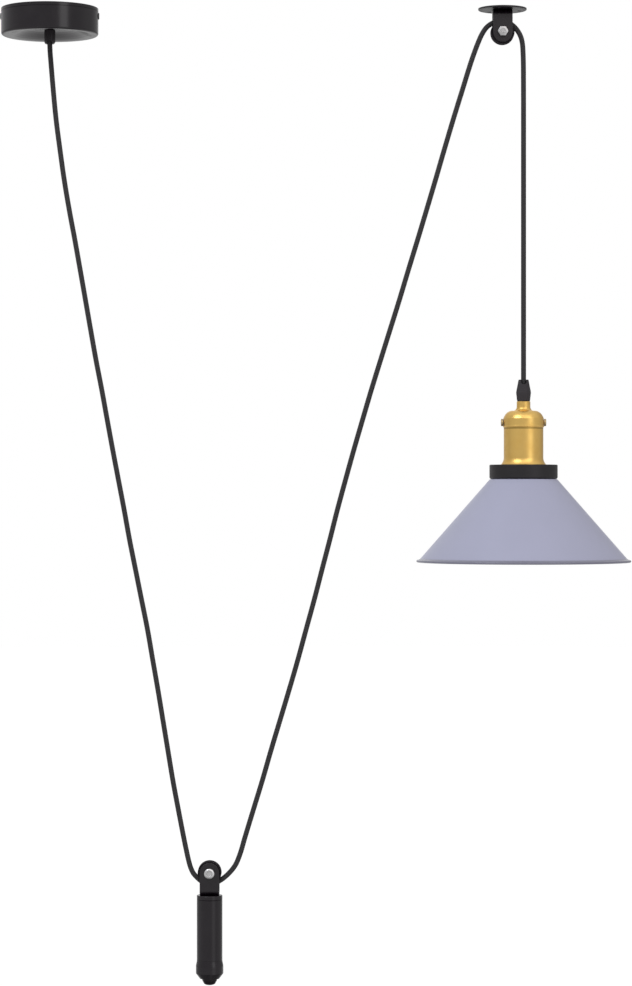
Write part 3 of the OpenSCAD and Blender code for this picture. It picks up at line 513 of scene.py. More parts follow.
@dataclass(frozen=True)
class ShadeLacquer(Finish):
    """Satin lacquer outside, white enamel inside, and painted shade on the rolled rim."""

    inside: Colour
    # The edge colour is the specks' colour and the painted shade of the rolled rim.
    edge: Colour
    top_r: float
    top_z: float
    slope: float
    foot_z: float
    roughness: float = 0.36
    ior: float = 1.48
    within_wall: Fade = Fade(0.0004, 0.0007)
    inner_gloss: float = 0.08
    # The band of the rolled rim that is darkened as painted shade.
    rim: Fade = Fade(-0.0002, 0.0016)
    rim_shade_tint: float = 0.8
    rim_gloss: float = 0.08
    peel: Layer = Layer(750.0)
    peel_depth: float = 0.00002
    peel_shown: float = 0.5
    cloud: Layer = Layer(24.0, 3.0, 0.55)
    clouded: Fade = Fade(0.3, 0.7, 0.5)
    cloud_light: float = 0.955
    cloud_gloss: float = 0.1
    speck: Layer = Layer(1900.0, 1.0)
    specked: Fade = Fade(0.68, 0.75, 0.16)

    def make(self) -> Material:
        """Build the material: the side is told by the distance from the outer cone.

        Returns:
            The material.
        """
        bench = Bench.for_material(self.name)
        x, y, z = bench.split(bench.moved((LAMP_X, 0.0, 0.0)))
        below = self.top_z - z
        depth = self.top_r + below * self.slope - bench.length(x, y)
        inner = self.within_wall.of(depth) * EDGE.of(below)
        rim = self.rim.of(self.foot_z - z)
        cloud = bench.noise(self.cloud)
        dark = darker(self.colour, self.cloud_light)
        colour = bench.mix(self.clouded.of(cloud), self.colour, dark)
        # Painted shade: the rolled rim below the cone's foot is mixed towards the edge colour.
        colour = bench.mix(rim * self.rim_shade_tint, colour, self.edge)
        colour = bench.mix(self.specked.of(bench.noise(self.speck)), colour, self.edge)
        colour = bench.mix(inner, colour, self.inside)
        rough = (self.roughness + (cloud - MIDDLE) * self.cloud_gloss - rim * self.rim_gloss
                 - inner * self.inner_gloss)
        normal = bench.bump(bench.noise(self.peel), self.peel_depth, self.peel_shown)
        return bench.finish(Base_Color=colour, Roughness=rough, IOR=self.ior, Normal=normal)


@dataclass(frozen=True)
class Braid(Finish):
    """Textile braid that follows the piece's own UV map: turns round it, metres along it."""

    shine: Colour
    roughness: float = 0.82
    ior: float = 1.4
    carriers: float = 8.0
    pitch: float = 0.0075
    yarn_depth: float = 0.00028
    yarn_shown: float = 0.9
    yarn_bow: float = 1.4
    yarn_crown_highlight: float = 0.62
    yarn_gloss: float = 0.16
    twist: Layer = Layer(5.0)
    twist_tint: float = 0.22
    patch: Layer = Layer(90.0, 3.0, 0.6)
    patch_tint: float = 0.16
    fuzz: Layer = Layer(5200.0, 2.0, 0.7)
    fuzz_depth: float = 0.00008
    fuzz_shown: float = 0.5
    fuzz_gloss: float = 0.12
    sheen: float = 0.1
    sheen_roughness: float = 0.4

    def make(self) -> Material:
        """Build the material: two sets of yarns that pass over and under each other.

        Returns:
            The material.
        """
        bench = Bench.for_material(self.name)
        u, v, _ = bench.split(bench.node("ShaderNodeTexCoord", {}, {}, "UV"))
        round_it = u * self.carriers
        along = v * (self.carriers / self.pitch)
        right = (round_it + along) * 0.5
        left = (round_it - along) * 0.5
        over = (right.apply("FLOOR") + left.apply("FLOOR")).apply("FLOORED_MODULO", 2.0)
        right_yarn = (right.apply("FRACT") * math.pi).apply("SINE")
        left_yarn = (left.apply("FRACT") * math.pi).apply("SINE")
        upper = over * right_yarn + (1.0 - over) * left_yarn
        yarns = bench.node("ShaderNodeCombineXYZ", {}, {0: right, 1: left, 2: over})
        fuzz = bench.noise(self.fuzz)
        # Painted highlight on the yarn crowns, with random tone from twist and patch noise.
        lit = (upper ** self.yarn_bow * self.yarn_crown_highlight
               + bench.noise(self.twist, yarns) * self.twist_tint
               + bench.noise(self.patch) * self.patch_tint)
        colour = bench.mix(lit, self.colour, self.shine)
        rough = self.roughness - upper * self.yarn_gloss + (fuzz - MIDDLE) * self.fuzz_gloss
        weave = bench.bump(upper, self.yarn_depth, self.yarn_shown)
        normal = bench.bump(fuzz, self.fuzz_depth, self.fuzz_shown, weave)
        return bench.finish(Base_Color=colour, Roughness=rough, IOR=self.ior, Normal=normal,
                            Sheen_Weight=self.sheen, Sheen_Roughness=self.sheen_roughness)


@dataclass(frozen=True)
class Glaze(Finish):
    """White glazed porcelain."""

    shade: Colour
    roughness: float = 0.14
    coat: float = 0.5
    coat_roughness: float = 0.06
    wave: Layer = Layer(190.0)
    wave_depth: float = 0.00006
    wave_shown: float = 0.5
    wave_tint: float = 0.35
    wave_gloss: float = 0.12
    speck: Layer = Layer(900.0, 1.0)
    specked: Fade = Fade(0.74, 0.79, 0.5)

    def make(self) -> Material:
        """Build the material: a wavy glaze with small iron specks.

        Returns:
            The material.
        """
        bench = Bench.for_material(self.name)
        wave = bench.noise(self.wave)
        specks = self.specked.of(bench.noise(self.speck))
        colour = bench.mix(wave * self.wave_tint + specks, self.colour, self.shade)
        rough = self.roughness + wave * self.wave_gloss
        return bench.finish(Base_Color=colour, Roughness=rough, Coat_Weight=self.coat,
                            Coat_Roughness=self.coat_roughness,
                            Normal=bench.bump(wave, self.wave_depth, self.wave_shown))


@dataclass(frozen=True)
class Insulation(Finish):
    """Extruded core insulation, with a second colour in stripes where it has one."""

    stripe: Optional[Colour] = None
    stripe_rate: float = 2300.0
    stripe_lean: Tuple[float, float] = (0.7, 0.4)
    striped: Fade = Fade(-0.1, 0.1)
    roughness: float = 0.34
    ior: float = 1.5
    drag: Layer = Layer(2600.0)
    drag_stretch: Point = (1.0, 1.0, 0.2)
    drag_depth: float = 0.00002
    drag_shown: float = 0.6
    drag_gloss: float = 0.14
    cloud: Layer = Layer(260.0)
    cloud_tint: float = 0.5
    cloud_light: float = 0.72

    def make(self) -> Material:
        """Build the material: a soft gloss, fine drag lines and, for earth, spiral stripes.

        Returns:
            The material.
        """
        bench = Bench.for_material(self.name)
        drag = bench.noise(self.drag, bench.moved(scale=self.drag_stretch))
        cloud = bench.noise(self.cloud) * self.cloud_tint
        colour = bench.mix(cloud, self.colour, darker(self.colour, self.cloud_light))
        if self.stripe is not None:
            x, y, z = bench.split(bench.places())
            lean_y, lean_z = self.stripe_lean
            band = ((x + y * lean_y + z * lean_z) * self.stripe_rate).apply("SINE")
            colour = bench.mix(self.striped.of(band), colour, self.stripe)
        rough = self.roughness + drag * self.drag_gloss
        return bench.finish(Base_Color=colour, Roughness=rough, IOR=self.ior,
                            Normal=bench.bump(drag, self.drag_depth, self.drag_shown))


GLOSS_BLACK = Enamel("gloss_black_enamel", (0.0045, 0.0021, 0.0047), 0.16, 1.48)
BRACKET_BLACK = Enamel("bracket_black_enamel", (0.004, 0.0014, 0.0042), 0.3, 1.52)
PLATE_BLACK = Enamel("plate_black_enamel", (0.0055, 0.0028, 0.0057), 0.4, 1.46)
WEIGHT_BLACK = Enamel("weight_black_enamel", (0.0052, 0.0025, 0.0054), 0.24, 1.47)
# Painted shade: the knob under the end cap gets a darker, less reflective copy of the weight's
# black.
KNOB_SHADED_BLACK = Enamel("knob_shaded_black_enamel", (0.003, 0.0014, 0.0032), 0.27, 1.33)
WHEEL_BLACK = Enamel("wheel_black_nylon", (0.0085, 0.0058, 0.0087), 0.7, 1.3)
GRIP_BLACK = Moulded("grip_black_plastic", (0.041, 0.0372, 0.0412), (0.054, 0.0496, 0.0544),
                     0.66, 1.22)
ROSE_GRIP_BLACK = Moulded("rose_grip_black_plastic", (0.0115, 0.0086, 0.0117),
                          (0.02, 0.017, 0.0203), 0.42)
RING_BLACK = Moulded("ring_black_plastic", (0.0052, 0.0038, 0.0056), (0.015, 0.0122, 0.0162),
                     0.46, ring_depth=0.0001)
BLOCK_WHITE = Moulded("block_white_plastic", (0.72, 0.72, 0.69), (0.8, 0.8, 0.78), 0.42)
# The holder's band from -0.4384 to -0.4362 m is painted shade under the cap's lip.
HOLDER_BRASS = Metal("holder_brass", (0.825, 0.54, 0.165), (0.72, 0.435, 0.11), 0.34,
                     Grain.TURNED_Z, 0.0000015, (LAMP_X, 0.0, 0.0), (-0.4384, -0.4362))
SCREW_BRASS = Metal("side_screw_brass", (0.46, 0.34, 0.17), (0.3, 0.21, 0.1), 0.36)
FITTING_BRASS = Metal("fitting_brass", srgb(214, 176, 104), srgb(180, 136, 70), 0.3)
BUSH_BRASS = Metal("bush_brass", srgb(204, 166, 96), srgb(160, 120, 64), 0.32, Grain.TURNED_Y)
PLATED_STEEL = Metal("plated_steel", (0.62, 0.62, 0.62), (0.42, 0.41, 0.4), 0.24)
CEILING_STEEL = Metal("ceiling_axle_steel", (0.54, 0.54, 0.545), (0.36, 0.356, 0.352), 0.34,
                      Grain.TURNED_Y, centre=(PULLEY_X, 0.0, -0.025))
WEIGHT_STEEL = Metal("weight_axle_steel", (0.66, 0.655, 0.66), (0.44, 0.43, 0.425), 0.3,
                     Grain.TURNED_Y, centre=(WEIGHT_X, 0.0, WEIGHT_AXLE_Z))
CORE_STEEL = Metal("core_steel", (0.3, 0.3, 0.31), (0.2, 0.19, 0.18), 0.45, Grain.TURNED_Z,
                   centre=(WEIGHT_X, 0.0, 0.0))
# The shade's third colour is the specks' colour and the painted shade of its rolled rim.
SHADE_LACQUER = ShadeLacquer("shade_lacquer", srgb(164, 165.5, 188), (0.78, 0.78, 0.77),
                             srgb(106, 105, 119), 0.03544, -0.49062, 0.8737, -0.5723)
CORD_BRAID = Braid("cord_braid", (0.009, 0.0086, 0.0094), (0.044, 0.042, 0.045))
PORCELAIN = Glaze("socket_porcelain", (0.8, 0.79, 0.76), (0.62, 0.6, 0.56))
LIVE_BROWN = Insulation("live_brown", (0.13, 0.042, 0.015))
NEUTRAL_BLUE = Insulation("neutral_blue", (0.02, 0.09, 0.42))
EARTH_GREEN = Insulation("earth_green_yellow", (0.09, 0.3, 0.03), (0.72, 0.62, 0.04))


# ---------------------------------------------------------------------------
# Making pieces
# ---------------------------------------------------------------------------


def link_new(name: str, data: bpy.types.ID) -> Piece:
    """Put new data into the scene as an object.

    Args:
        name: The object's name.
        data: Its data.

    Returns:
        The object.
    """
    obj = bpy.data.objects.new(name, data)
    bpy.context.scene.collection.objects.link(obj)
    return obj


def to_data(name: str, mesh: Mesh) -> bpy.types.Mesh:
    """Turn a bmesh into mesh data.

    Args:
        name: The data's name.
        mesh: The bmesh, which this frees.

    Returns:
        The mesh data.
    """
    data = bpy.data.meshes.new(name)
    mesh.to_mesh(data)
    mesh.free()
    return data


@dataclass
class Studio:
    """What every class needs: the loaded frame, the materials and a log of what was made."""

    frame: Dict[str, object]
    shelf: Dict[str, Material] = field(default_factory=dict)
    made: List[str] = field(default_factory=list)

    def dress(self, obj: Piece, finish: Finish) -> None:
        """Give an object one finish on all of its slots, and log it.

        Args:
            obj: The object.
            finish: Its finish, whose material is made on first use.
        """
        if finish.name not in self.shelf:
            self.shelf[finish.name] = finish.make()
        if not obj.material_slots:
            obj.data.materials.append(self.shelf[finish.name])
        for place in obj.material_slots:
            place.material = self.shelf[finish.name]
        self.made.append(obj.name)
        log.info("made %s", obj.name)

    def piece(self, name: str, mesh: Mesh, finish: Finish, smooth: float = 35.0,
              flat_faces: bool = False) -> Piece:
        """Turn a bmesh into an object at the origin, dressed and smooth-shaded.

        Args:
            name: The object's name.
            mesh: The bmesh, which this frees.
            finish: Its finish.
            smooth: The greatest angle, in degrees, that is shaded as a curve.
            flat_faces: Whether its large faces stay flat in shading beside their eased edges.

        Returns:
            The object.
        """
        for face in mesh.faces:
            face.smooth = True
        limit = math.radians(smooth)
        for edge in mesh.edges:
            edge.smooth = not (edge.is_manifold and edge.calc_face_angle(0.0) > limit)
        obj = link_new(name, to_data(name, mesh))
        if flat_faces:
            obj.modifiers.new("normals", "WEIGHTED_NORMAL").keep_sharp = True
        self.dress(obj, finish)
        return obj


def instead(obj: Piece, node: str, body: str) -> None:
    """Let a piece stand in for one CAD node.

    Args:
        obj: The piece.
        node: The node that it replaces.
        body: The body that it rides on.
    """
    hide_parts(node)
    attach(obj, body)


def outward(mesh: Mesh) -> None:
    """Turn every face of a closed bmesh outwards."""
    bmesh.ops.recalc_face_normals(mesh, faces=mesh.faces[:])


def shift(mesh: Mesh, by: Point) -> None:
    """Move a whole bmesh."""
    bmesh.ops.translate(mesh, verts=mesh.verts[:], vec=by)


def turn_about_x(mesh: Mesh, turn: float) -> None:
    """Turn a whole bmesh about the X axis, by an angle in radians."""
    bmesh.ops.rotate(mesh, verts=mesh.verts[:], cent=(0, 0, 0),
                     matrix=Matrix.Rotation(turn, 3, "X"))


def ease(mesh: Mesh, edges: Sequence[Edge], width: float) -> None:
    """Round edges off with three narrow faces."""
    bmesh.ops.bevel(mesh, geom=edges, offset=width, offset_type="OFFSET", segments=3, profile=0.5,
                    affect="EDGES", material=-1, clamp_overlap=True)


def cap(mesh: Mesh, rims: Iterable[Sequence[Union[Vert, Edge]]]) -> None:
    """Close a shell by one face on each of its rims, and turn it outwards.

    Args:
        mesh: The bmesh.
        rims: The vertices or edges of each rim.
    """
    for rim in rims:
        bmesh.ops.contextual_create(mesh, geom=rim)
    outward(mesh)


def verts_in(drawn: Iterable[object]) -> List[Vert]:
    """The vertices among what an extrusion made."""
    return [item for item in drawn if isinstance(item, Vert)]


def lathe(outline: Outline, centre: Point, axis: str = "Z", steps: int = 48) -> Mesh:
    """Spin an outline into a closed solid of revolution.

    Args:
        outline: Radius and height of each corner, in metres, closed from the last to the first.
        centre: The point on the axis that heights start from.
        axis: Z, or Y for a piece on an axle, where a height runs along Y.
        steps: Faces in a full turn.

    Returns:
        The bmesh, with outward normals.
    """
    mesh = bmesh.new()
    drawn = [mesh.verts.new((radius, 0.0, height)) for radius, height in outline]
    edges = [mesh.edges.new((a, b)) for a, b in zip(drawn, drawn[1:] + drawn[:1])
             if not (a.co.x < 1e-9 and b.co.x < 1e-9)]
    bmesh.ops.spin(mesh, geom=drawn + edges, cent=(0, 0, 0), axis=(0, 0, 1), dvec=(0, 0, 0),
                   angle=math.tau, steps=steps, use_merge=True, use_duplicate=False)
    bmesh.ops.remove_doubles(mesh, verts=mesh.verts[:], dist=1e-7)
    outward(mesh)
    if axis == "Y":
        turn_about_x(mesh, -math.pi / 2)
    shift(mesh, centre)
    return mesh


def tube(inner_r: float, outer_r: float, low: float, high: float) -> Mesh:
    """A turned tube about the lamp's axis, or a rod where the inner radius is 0."""
    return lathe([(inner_r, low), (outer_r, low), (outer_r, high), (inner_r, high)],
                 (LAMP_X, 0.0, 0.0))


def turns(vert: Vert, count: int) -> int:
    """The number of a vertex on a circle of so many about the Z axis, counted from +X."""
    return round(math.atan2(vert.co.y, vert.co.x) / (math.tau / count)) % count


def rim_edges(verts: Sequence[Vert]) -> List[Edge]:
    """The edges that run between some vertices, in the same order on every run."""
    chosen = set(verts)
    return list(dict.fromkeys(edge for vert in verts for edge in vert.link_edges
                              if edge.other_vert(vert) in chosen))


def cut_away(mesh: Mesh, cutters: Sequence[Mesh]) -> Mesh:
    """Take closed cutters out of a closed bmesh.

    Args:
        mesh: The bmesh that is cut, which this frees.
        cutters: The cutters, which this frees.

    Returns:
        The new bmesh.
    """
    blocks = [link_new("block", to_data("block", source)) for source in [mesh, *cutters]]
    for cutter in blocks[1:]:
        cut = blocks[0].modifiers.new("cut", "BOOLEAN")
        cut.operation, cut.solver, cut.object = "DIFFERENCE", "EXACT", cutter
    result = bmesh.new()
    result.from_object(blocks[0], bpy.context.evaluated_depsgraph_get())
    for block in blocks:
        data = block.data
        bpy.data.objects.remove(block)
        bpy.data.meshes.remove(data)
    outward(result)
    return result


def join(mesh: Mesh, other: Mesh) -> None:
    """Add a second closed shell to a bmesh.

    Args:
        mesh: The bmesh that grows.
        other: The bmesh that is added, which this frees.
    """
    data = to_data("shell", other)
    mesh.from_mesh(data)
    bpy.data.meshes.remove(data)


@dataclass
class Strap:
    """A steel strip bent to a U, with a round ear and an axle hole at each end and eased edges."""

    closed_hole_r: float
    width: float = 0.0203
    thickness: float = 0.002
    depth: float = 0.018
    bend: float = 0.0055
    bend_steps: int = 7
    drop: float = 0.0233
    ear_past: float = 0.01075
    axle_hole_r: float = 0.0031
    edge: float = 0.00035
    sharp: float = math.radians(50.0)
    around: int = 32

    def mesh(self, closed_end: Point, upright: bool) -> Mesh:
        """Shape the strap.

        Args:
            closed_end: The middle of the closed end's outer face.
            upright: Whether the ears stand up from the closed end, instead of hanging from it.

        Returns:
            The bmesh.
        """
        mesh = bmesh.new()
        self._ear(mesh)
        bmesh.ops.mirror(mesh, geom=mesh.verts[:] + mesh.edges[:] + mesh.faces[:], axis="Y",
                         merge_dist=1e-8)
        self._closed_end(mesh)
        bmesh.ops.remove_doubles(mesh, verts=mesh.verts[:], dist=1e-6)
        outward(mesh)
        top = max(mesh.faces, key=lambda face: face.calc_center_median().z)
        if top.normal.z < 0.0:
            bmesh.ops.reverse_faces(mesh, faces=mesh.faces[:])
        bmesh.ops.solidify(mesh, geom=mesh.faces[:], thickness=self.thickness)
        outward(mesh)
        ease(mesh, [edge for edge in mesh.edges if edge.calc_face_angle(0.0) > self.sharp],
             self.edge)
        if upright:
            turn_about_x(mesh, math.pi)
        shift(mesh, closed_end)
        return mesh

    def _plate_with_hole(self, mesh: Mesh, rim: Sequence[Point],
                         hole: Sequence[Point]) -> List[Vert]:
        """Bridge a rim to a round hole.

        Args:
            mesh: The bmesh.
            rim: The place of each vertex of the rim.
            hole: The place of each vertex of the hole.

        Returns:
            The rim's vertices, in their order.
        """
        rings = []
        for places in (rim, hole):
            made = bmesh.ops.create_circle(mesh, segments=self.around, radius=self.width / 2)
            ring = sorted(made["verts"], key=lambda vert: turns(vert, self.around))
            for vert, place in zip(ring, places):
                vert.co = place
            rings.append(ring)
        bmesh.ops.bridge_loops(mesh, edges=rim_edges(rings[0]) + rim_edges(rings[1]))
        return rings[0]

    def _circle(self, radius: float) -> List[Tuple[float, float]]:
        """The offsets of the vertices on a circle, in the order of their numbers."""
        angles = (math.tau * number / self.around for number in range(self.around))
        return [(radius * math.cos(angle), radius * math.sin(angle)) for angle in angles]

    def _columns(self) -> List[float]:
        """How far across the strip its columns stand, between the two edges of a bend."""
        share = self.around / 4 - 1
        return [self.width / 2 * (1.0 - column / share) for column in range(self.around // 2 - 1)]

    def _ear(self, mesh: Mesh) -> None:
        """Make the front ear, half round below, and turn its upper edge into the bend.

        Args:
            mesh: The bmesh.
        """
        half, front = self.width / 2, -self.depth / 2
        rim = [(x, front, z - self.drop - self.ear_past + half) for x, z in self._circle(half)]
        rim[1:self.around // 2] = [(x, front, -self.bend) for x in self._columns()]
        hole = [(x, front, z - self.drop) for x, z in self._circle(self.axle_hole_r)]
        line = self._plate_with_hole(mesh, rim, hole)[1:self.around // 2]
        bmesh.ops.spin(mesh, geom=line + rim_edges(line), axis=(1, 0, 0), dvec=(0, 0, 0),
                       cent=(0, self.bend - self.depth / 2, -self.bend), angle=-math.pi / 2,
                       steps=self.bend_steps, use_merge=False, use_duplicate=False)

    def _closed_end(self, mesh: Mesh) -> None:
        """Make the closed end, between the lines where the two bends end.

        Args:
            mesh: The bmesh.
        """
        half, flat, columns = self.width / 2, self.depth / 2 - self.bend, self._columns()
        rim = [(half, 0.0, 0.0), *((x, flat, 0.0) for x in columns),
               (-half, 0.0, 0.0), *((x, -flat, 0.0) for x in reversed(columns))]
        self._plate_with_hole(mesh, rim, [(x, y, 0.0) for x, y in self._circle(self.closed_hole_r)])


@dataclass
class Axle:
    """What the axles of both wheels share: a head before the strap and a shank through it."""

    shank_r: float = 0.003
    under_head: float = -0.00905
    head_h: float = 0.0044
    shank_end: float = 0.0146
    chamfer: float = 0.0005

    @property
    def face(self) -> float:
        """Where the head's face stands along the axle."""
        return self.under_head - self.head_h

    def turned(self, head: Outline, centre: Point, steps: int) -> Mesh:
        """Turn an axle.

        Args:
            head: The head's outline, from the middle of its face to its edge, with the last
                corner under the head.
            centre: The middle of the axle.
            steps: Faces in a full turn.

        Returns:
            The bmesh.
        """
        shank = [(self.shank_r, self.under_head), (self.shank_r, self.shank_end - self.chamfer),
                 (self.shank_r - self.chamfer, self.shank_end), (0.0, self.shank_end)]
        return lathe([*head, *shank], centre, "Y", steps)


@dataclass
class HexBolt(Axle):
    """The ceiling wheel's axle: a bolt with a chamfered hexagon head and a shallow dish in it."""

    across_flats: float = 0.0093
    dish_r: float = 0.0024
    dish: float = 0.0004
    dish_floor_share: float = 0.8
    chamfer_slope: float = 0.5
    chamfer_share: float = 0.95
    blank_share: float = 1.2
    around: int = 96

    def mesh(self, centre: Point) -> Mesh:
        """Turn the bolt, then press its head to a hexagon with corners at both sides.

        Args:
            centre: The middle of the axle.

        Returns:
            The bmesh.
        """
        face, flat = self.face, self.across_flats / 2
        chamfer_r, wide = flat * self.chamfer_share, flat * self.blank_share
        head = [(0.0, face + self.dish), (self.dish_r * self.dish_floor_share, face + self.dish),
                (self.dish_r, face), (chamfer_r, face), (wide, face + self.chamfer),
                (wide, self.under_head)]
        mesh = self.turned(head, (0.0, 0.0, 0.0), self.around)
        for vert in mesh.verts:
            radius = math.hypot(vert.co.x, vert.co.z)
            if radius > wide - 1e-5:
                turn = math.atan2(vert.co.z, vert.co.x) % (math.pi / 3)
                reach = flat / math.cos(turn - math.pi / 6)
                vert.co.x *= reach / radius
                vert.co.z *= reach / radius
                if vert.co.y < face + 2 * self.chamfer:
                    vert.co.y = face + (reach - chamfer_r) * self.chamfer_slope
        shift(mesh, centre)
        return mesh


@dataclass
class DomedPin(Axle):
    """The weight wheel's axle: a pin with a domed rim round a shallow recess."""

    head_r: float = 0.0054
    dome: float = 0.0013
    recess_r: float = 0.0028
    recess: float = 0.0006
    recess_floor_share: float = 0.86
    crown_steps: int = 6
    around: int = 64

    def mesh(self, centre: Point) -> Mesh:
        """Turn the pin.

        Args:
            centre: The middle of the axle.

        Returns:
            The bmesh.
        """
        floor, rim = self.face + self.recess, self.head_r - self.recess_r
        angles = (math.radians(90.0 / self.crown_steps * step)
                  for step in range(self.crown_steps + 1))
        crown = [(self.recess_r + rim * math.sin(turn),
                  self.face + self.dome * (1.0 - math.cos(turn))) for turn in angles]
        return self.turned([(0.0, floor), (self.recess_r * self.recess_floor_share, floor), *crown,
                            (self.head_r, self.under_head)], centre, self.around)


# ---------------------------------------------------------------------------
# Cord
# ---------------------------------------------------------------------------


@dataclass
class CordRoute:
    """A chosen route in the plane Y = 0, in millimetres, made smooth and sampled evenly."""

    points: Sequence[Tuple[float, float]]
    spacing: float = 2.5
    cuts: int = 24

    def samples(self) -> List[Vector]:
        """Points along the route, in metres.

        Returns:
            The points, an even distance apart.
        """
        dense = self._dense()
        lengths = [0.0]
        for a, b in zip(dense, dense[1:]):
            lengths.append(lengths[-1] + (b - a).length)
        count = max(2, round(lengths[-1] / (self.spacing * MM)))
        out: List[Vector] = []
        place = 0
        for index in range(count + 1):
            target = lengths[-1] * index / count
            while place < len(lengths) - 2 and lengths[place + 1] < target:
                place += 1
            span = lengths[place + 1] - lengths[place]
            share = 0.0 if span == 0.0 else (target - lengths[place]) / span
            out.append(dense[place].lerp(dense[place + 1], min(1.0, share)))
        return out

    def _dense(self) -> List[Vector]:
        """The smooth curve through the chosen points, finely cut.

        Returns:
            The points of the curve.
        """
        knots = [Vector((x * MM, 0.0, z * MM)) for x, z in self.points]
        knots = [knots[0] * 2 - knots[1]] + knots + [knots[-1] * 2 - knots[-2]]
        dense: List[Vector] = []
        for four in zip(knots, knots[1:], knots[2:], knots[3:]):
            dense += self._span(four)
        return dense + [knots[-2]]

    def _span(self, four: Sequence[Vector]) -> List[Vector]:
        """One span of a centripetal spline.

        Args:
            four: The knots before, at the start, at the end of and after the span.

        Returns:
            The span's points, without its last.
        """
        p0, p1, p2, p3 = four
        t0 = 0.0
        t1 = t0 + max(1e-6, (p1 - p0).length ** 0.5)
        t2 = t1 + max(1e-6, (p2 - p1).length ** 0.5)
        t3 = t2 + max(1e-6, (p3 - p2).length ** 0.5)

        def between(low: Vector, high: Vector, start: float, end: float) -> Vector:
            """The point between two, as t goes from start to end."""
            return low * ((end - t) / (end - start)) + high * ((t - start) / (end - start))

        out: List[Vector] = []
        for cut in range(self.cuts):
            t = t1 + (t2 - t1) * cut / self.cuts
            a1, a2, a3 = between(p0, p1, t0, t1), between(p1, p2, t1, t2), between(p2, p3, t2, t3)
            out.append(between(between(a1, a2, t0, t2), between(a2, a3, t1, t3), t1, t2))
        return out


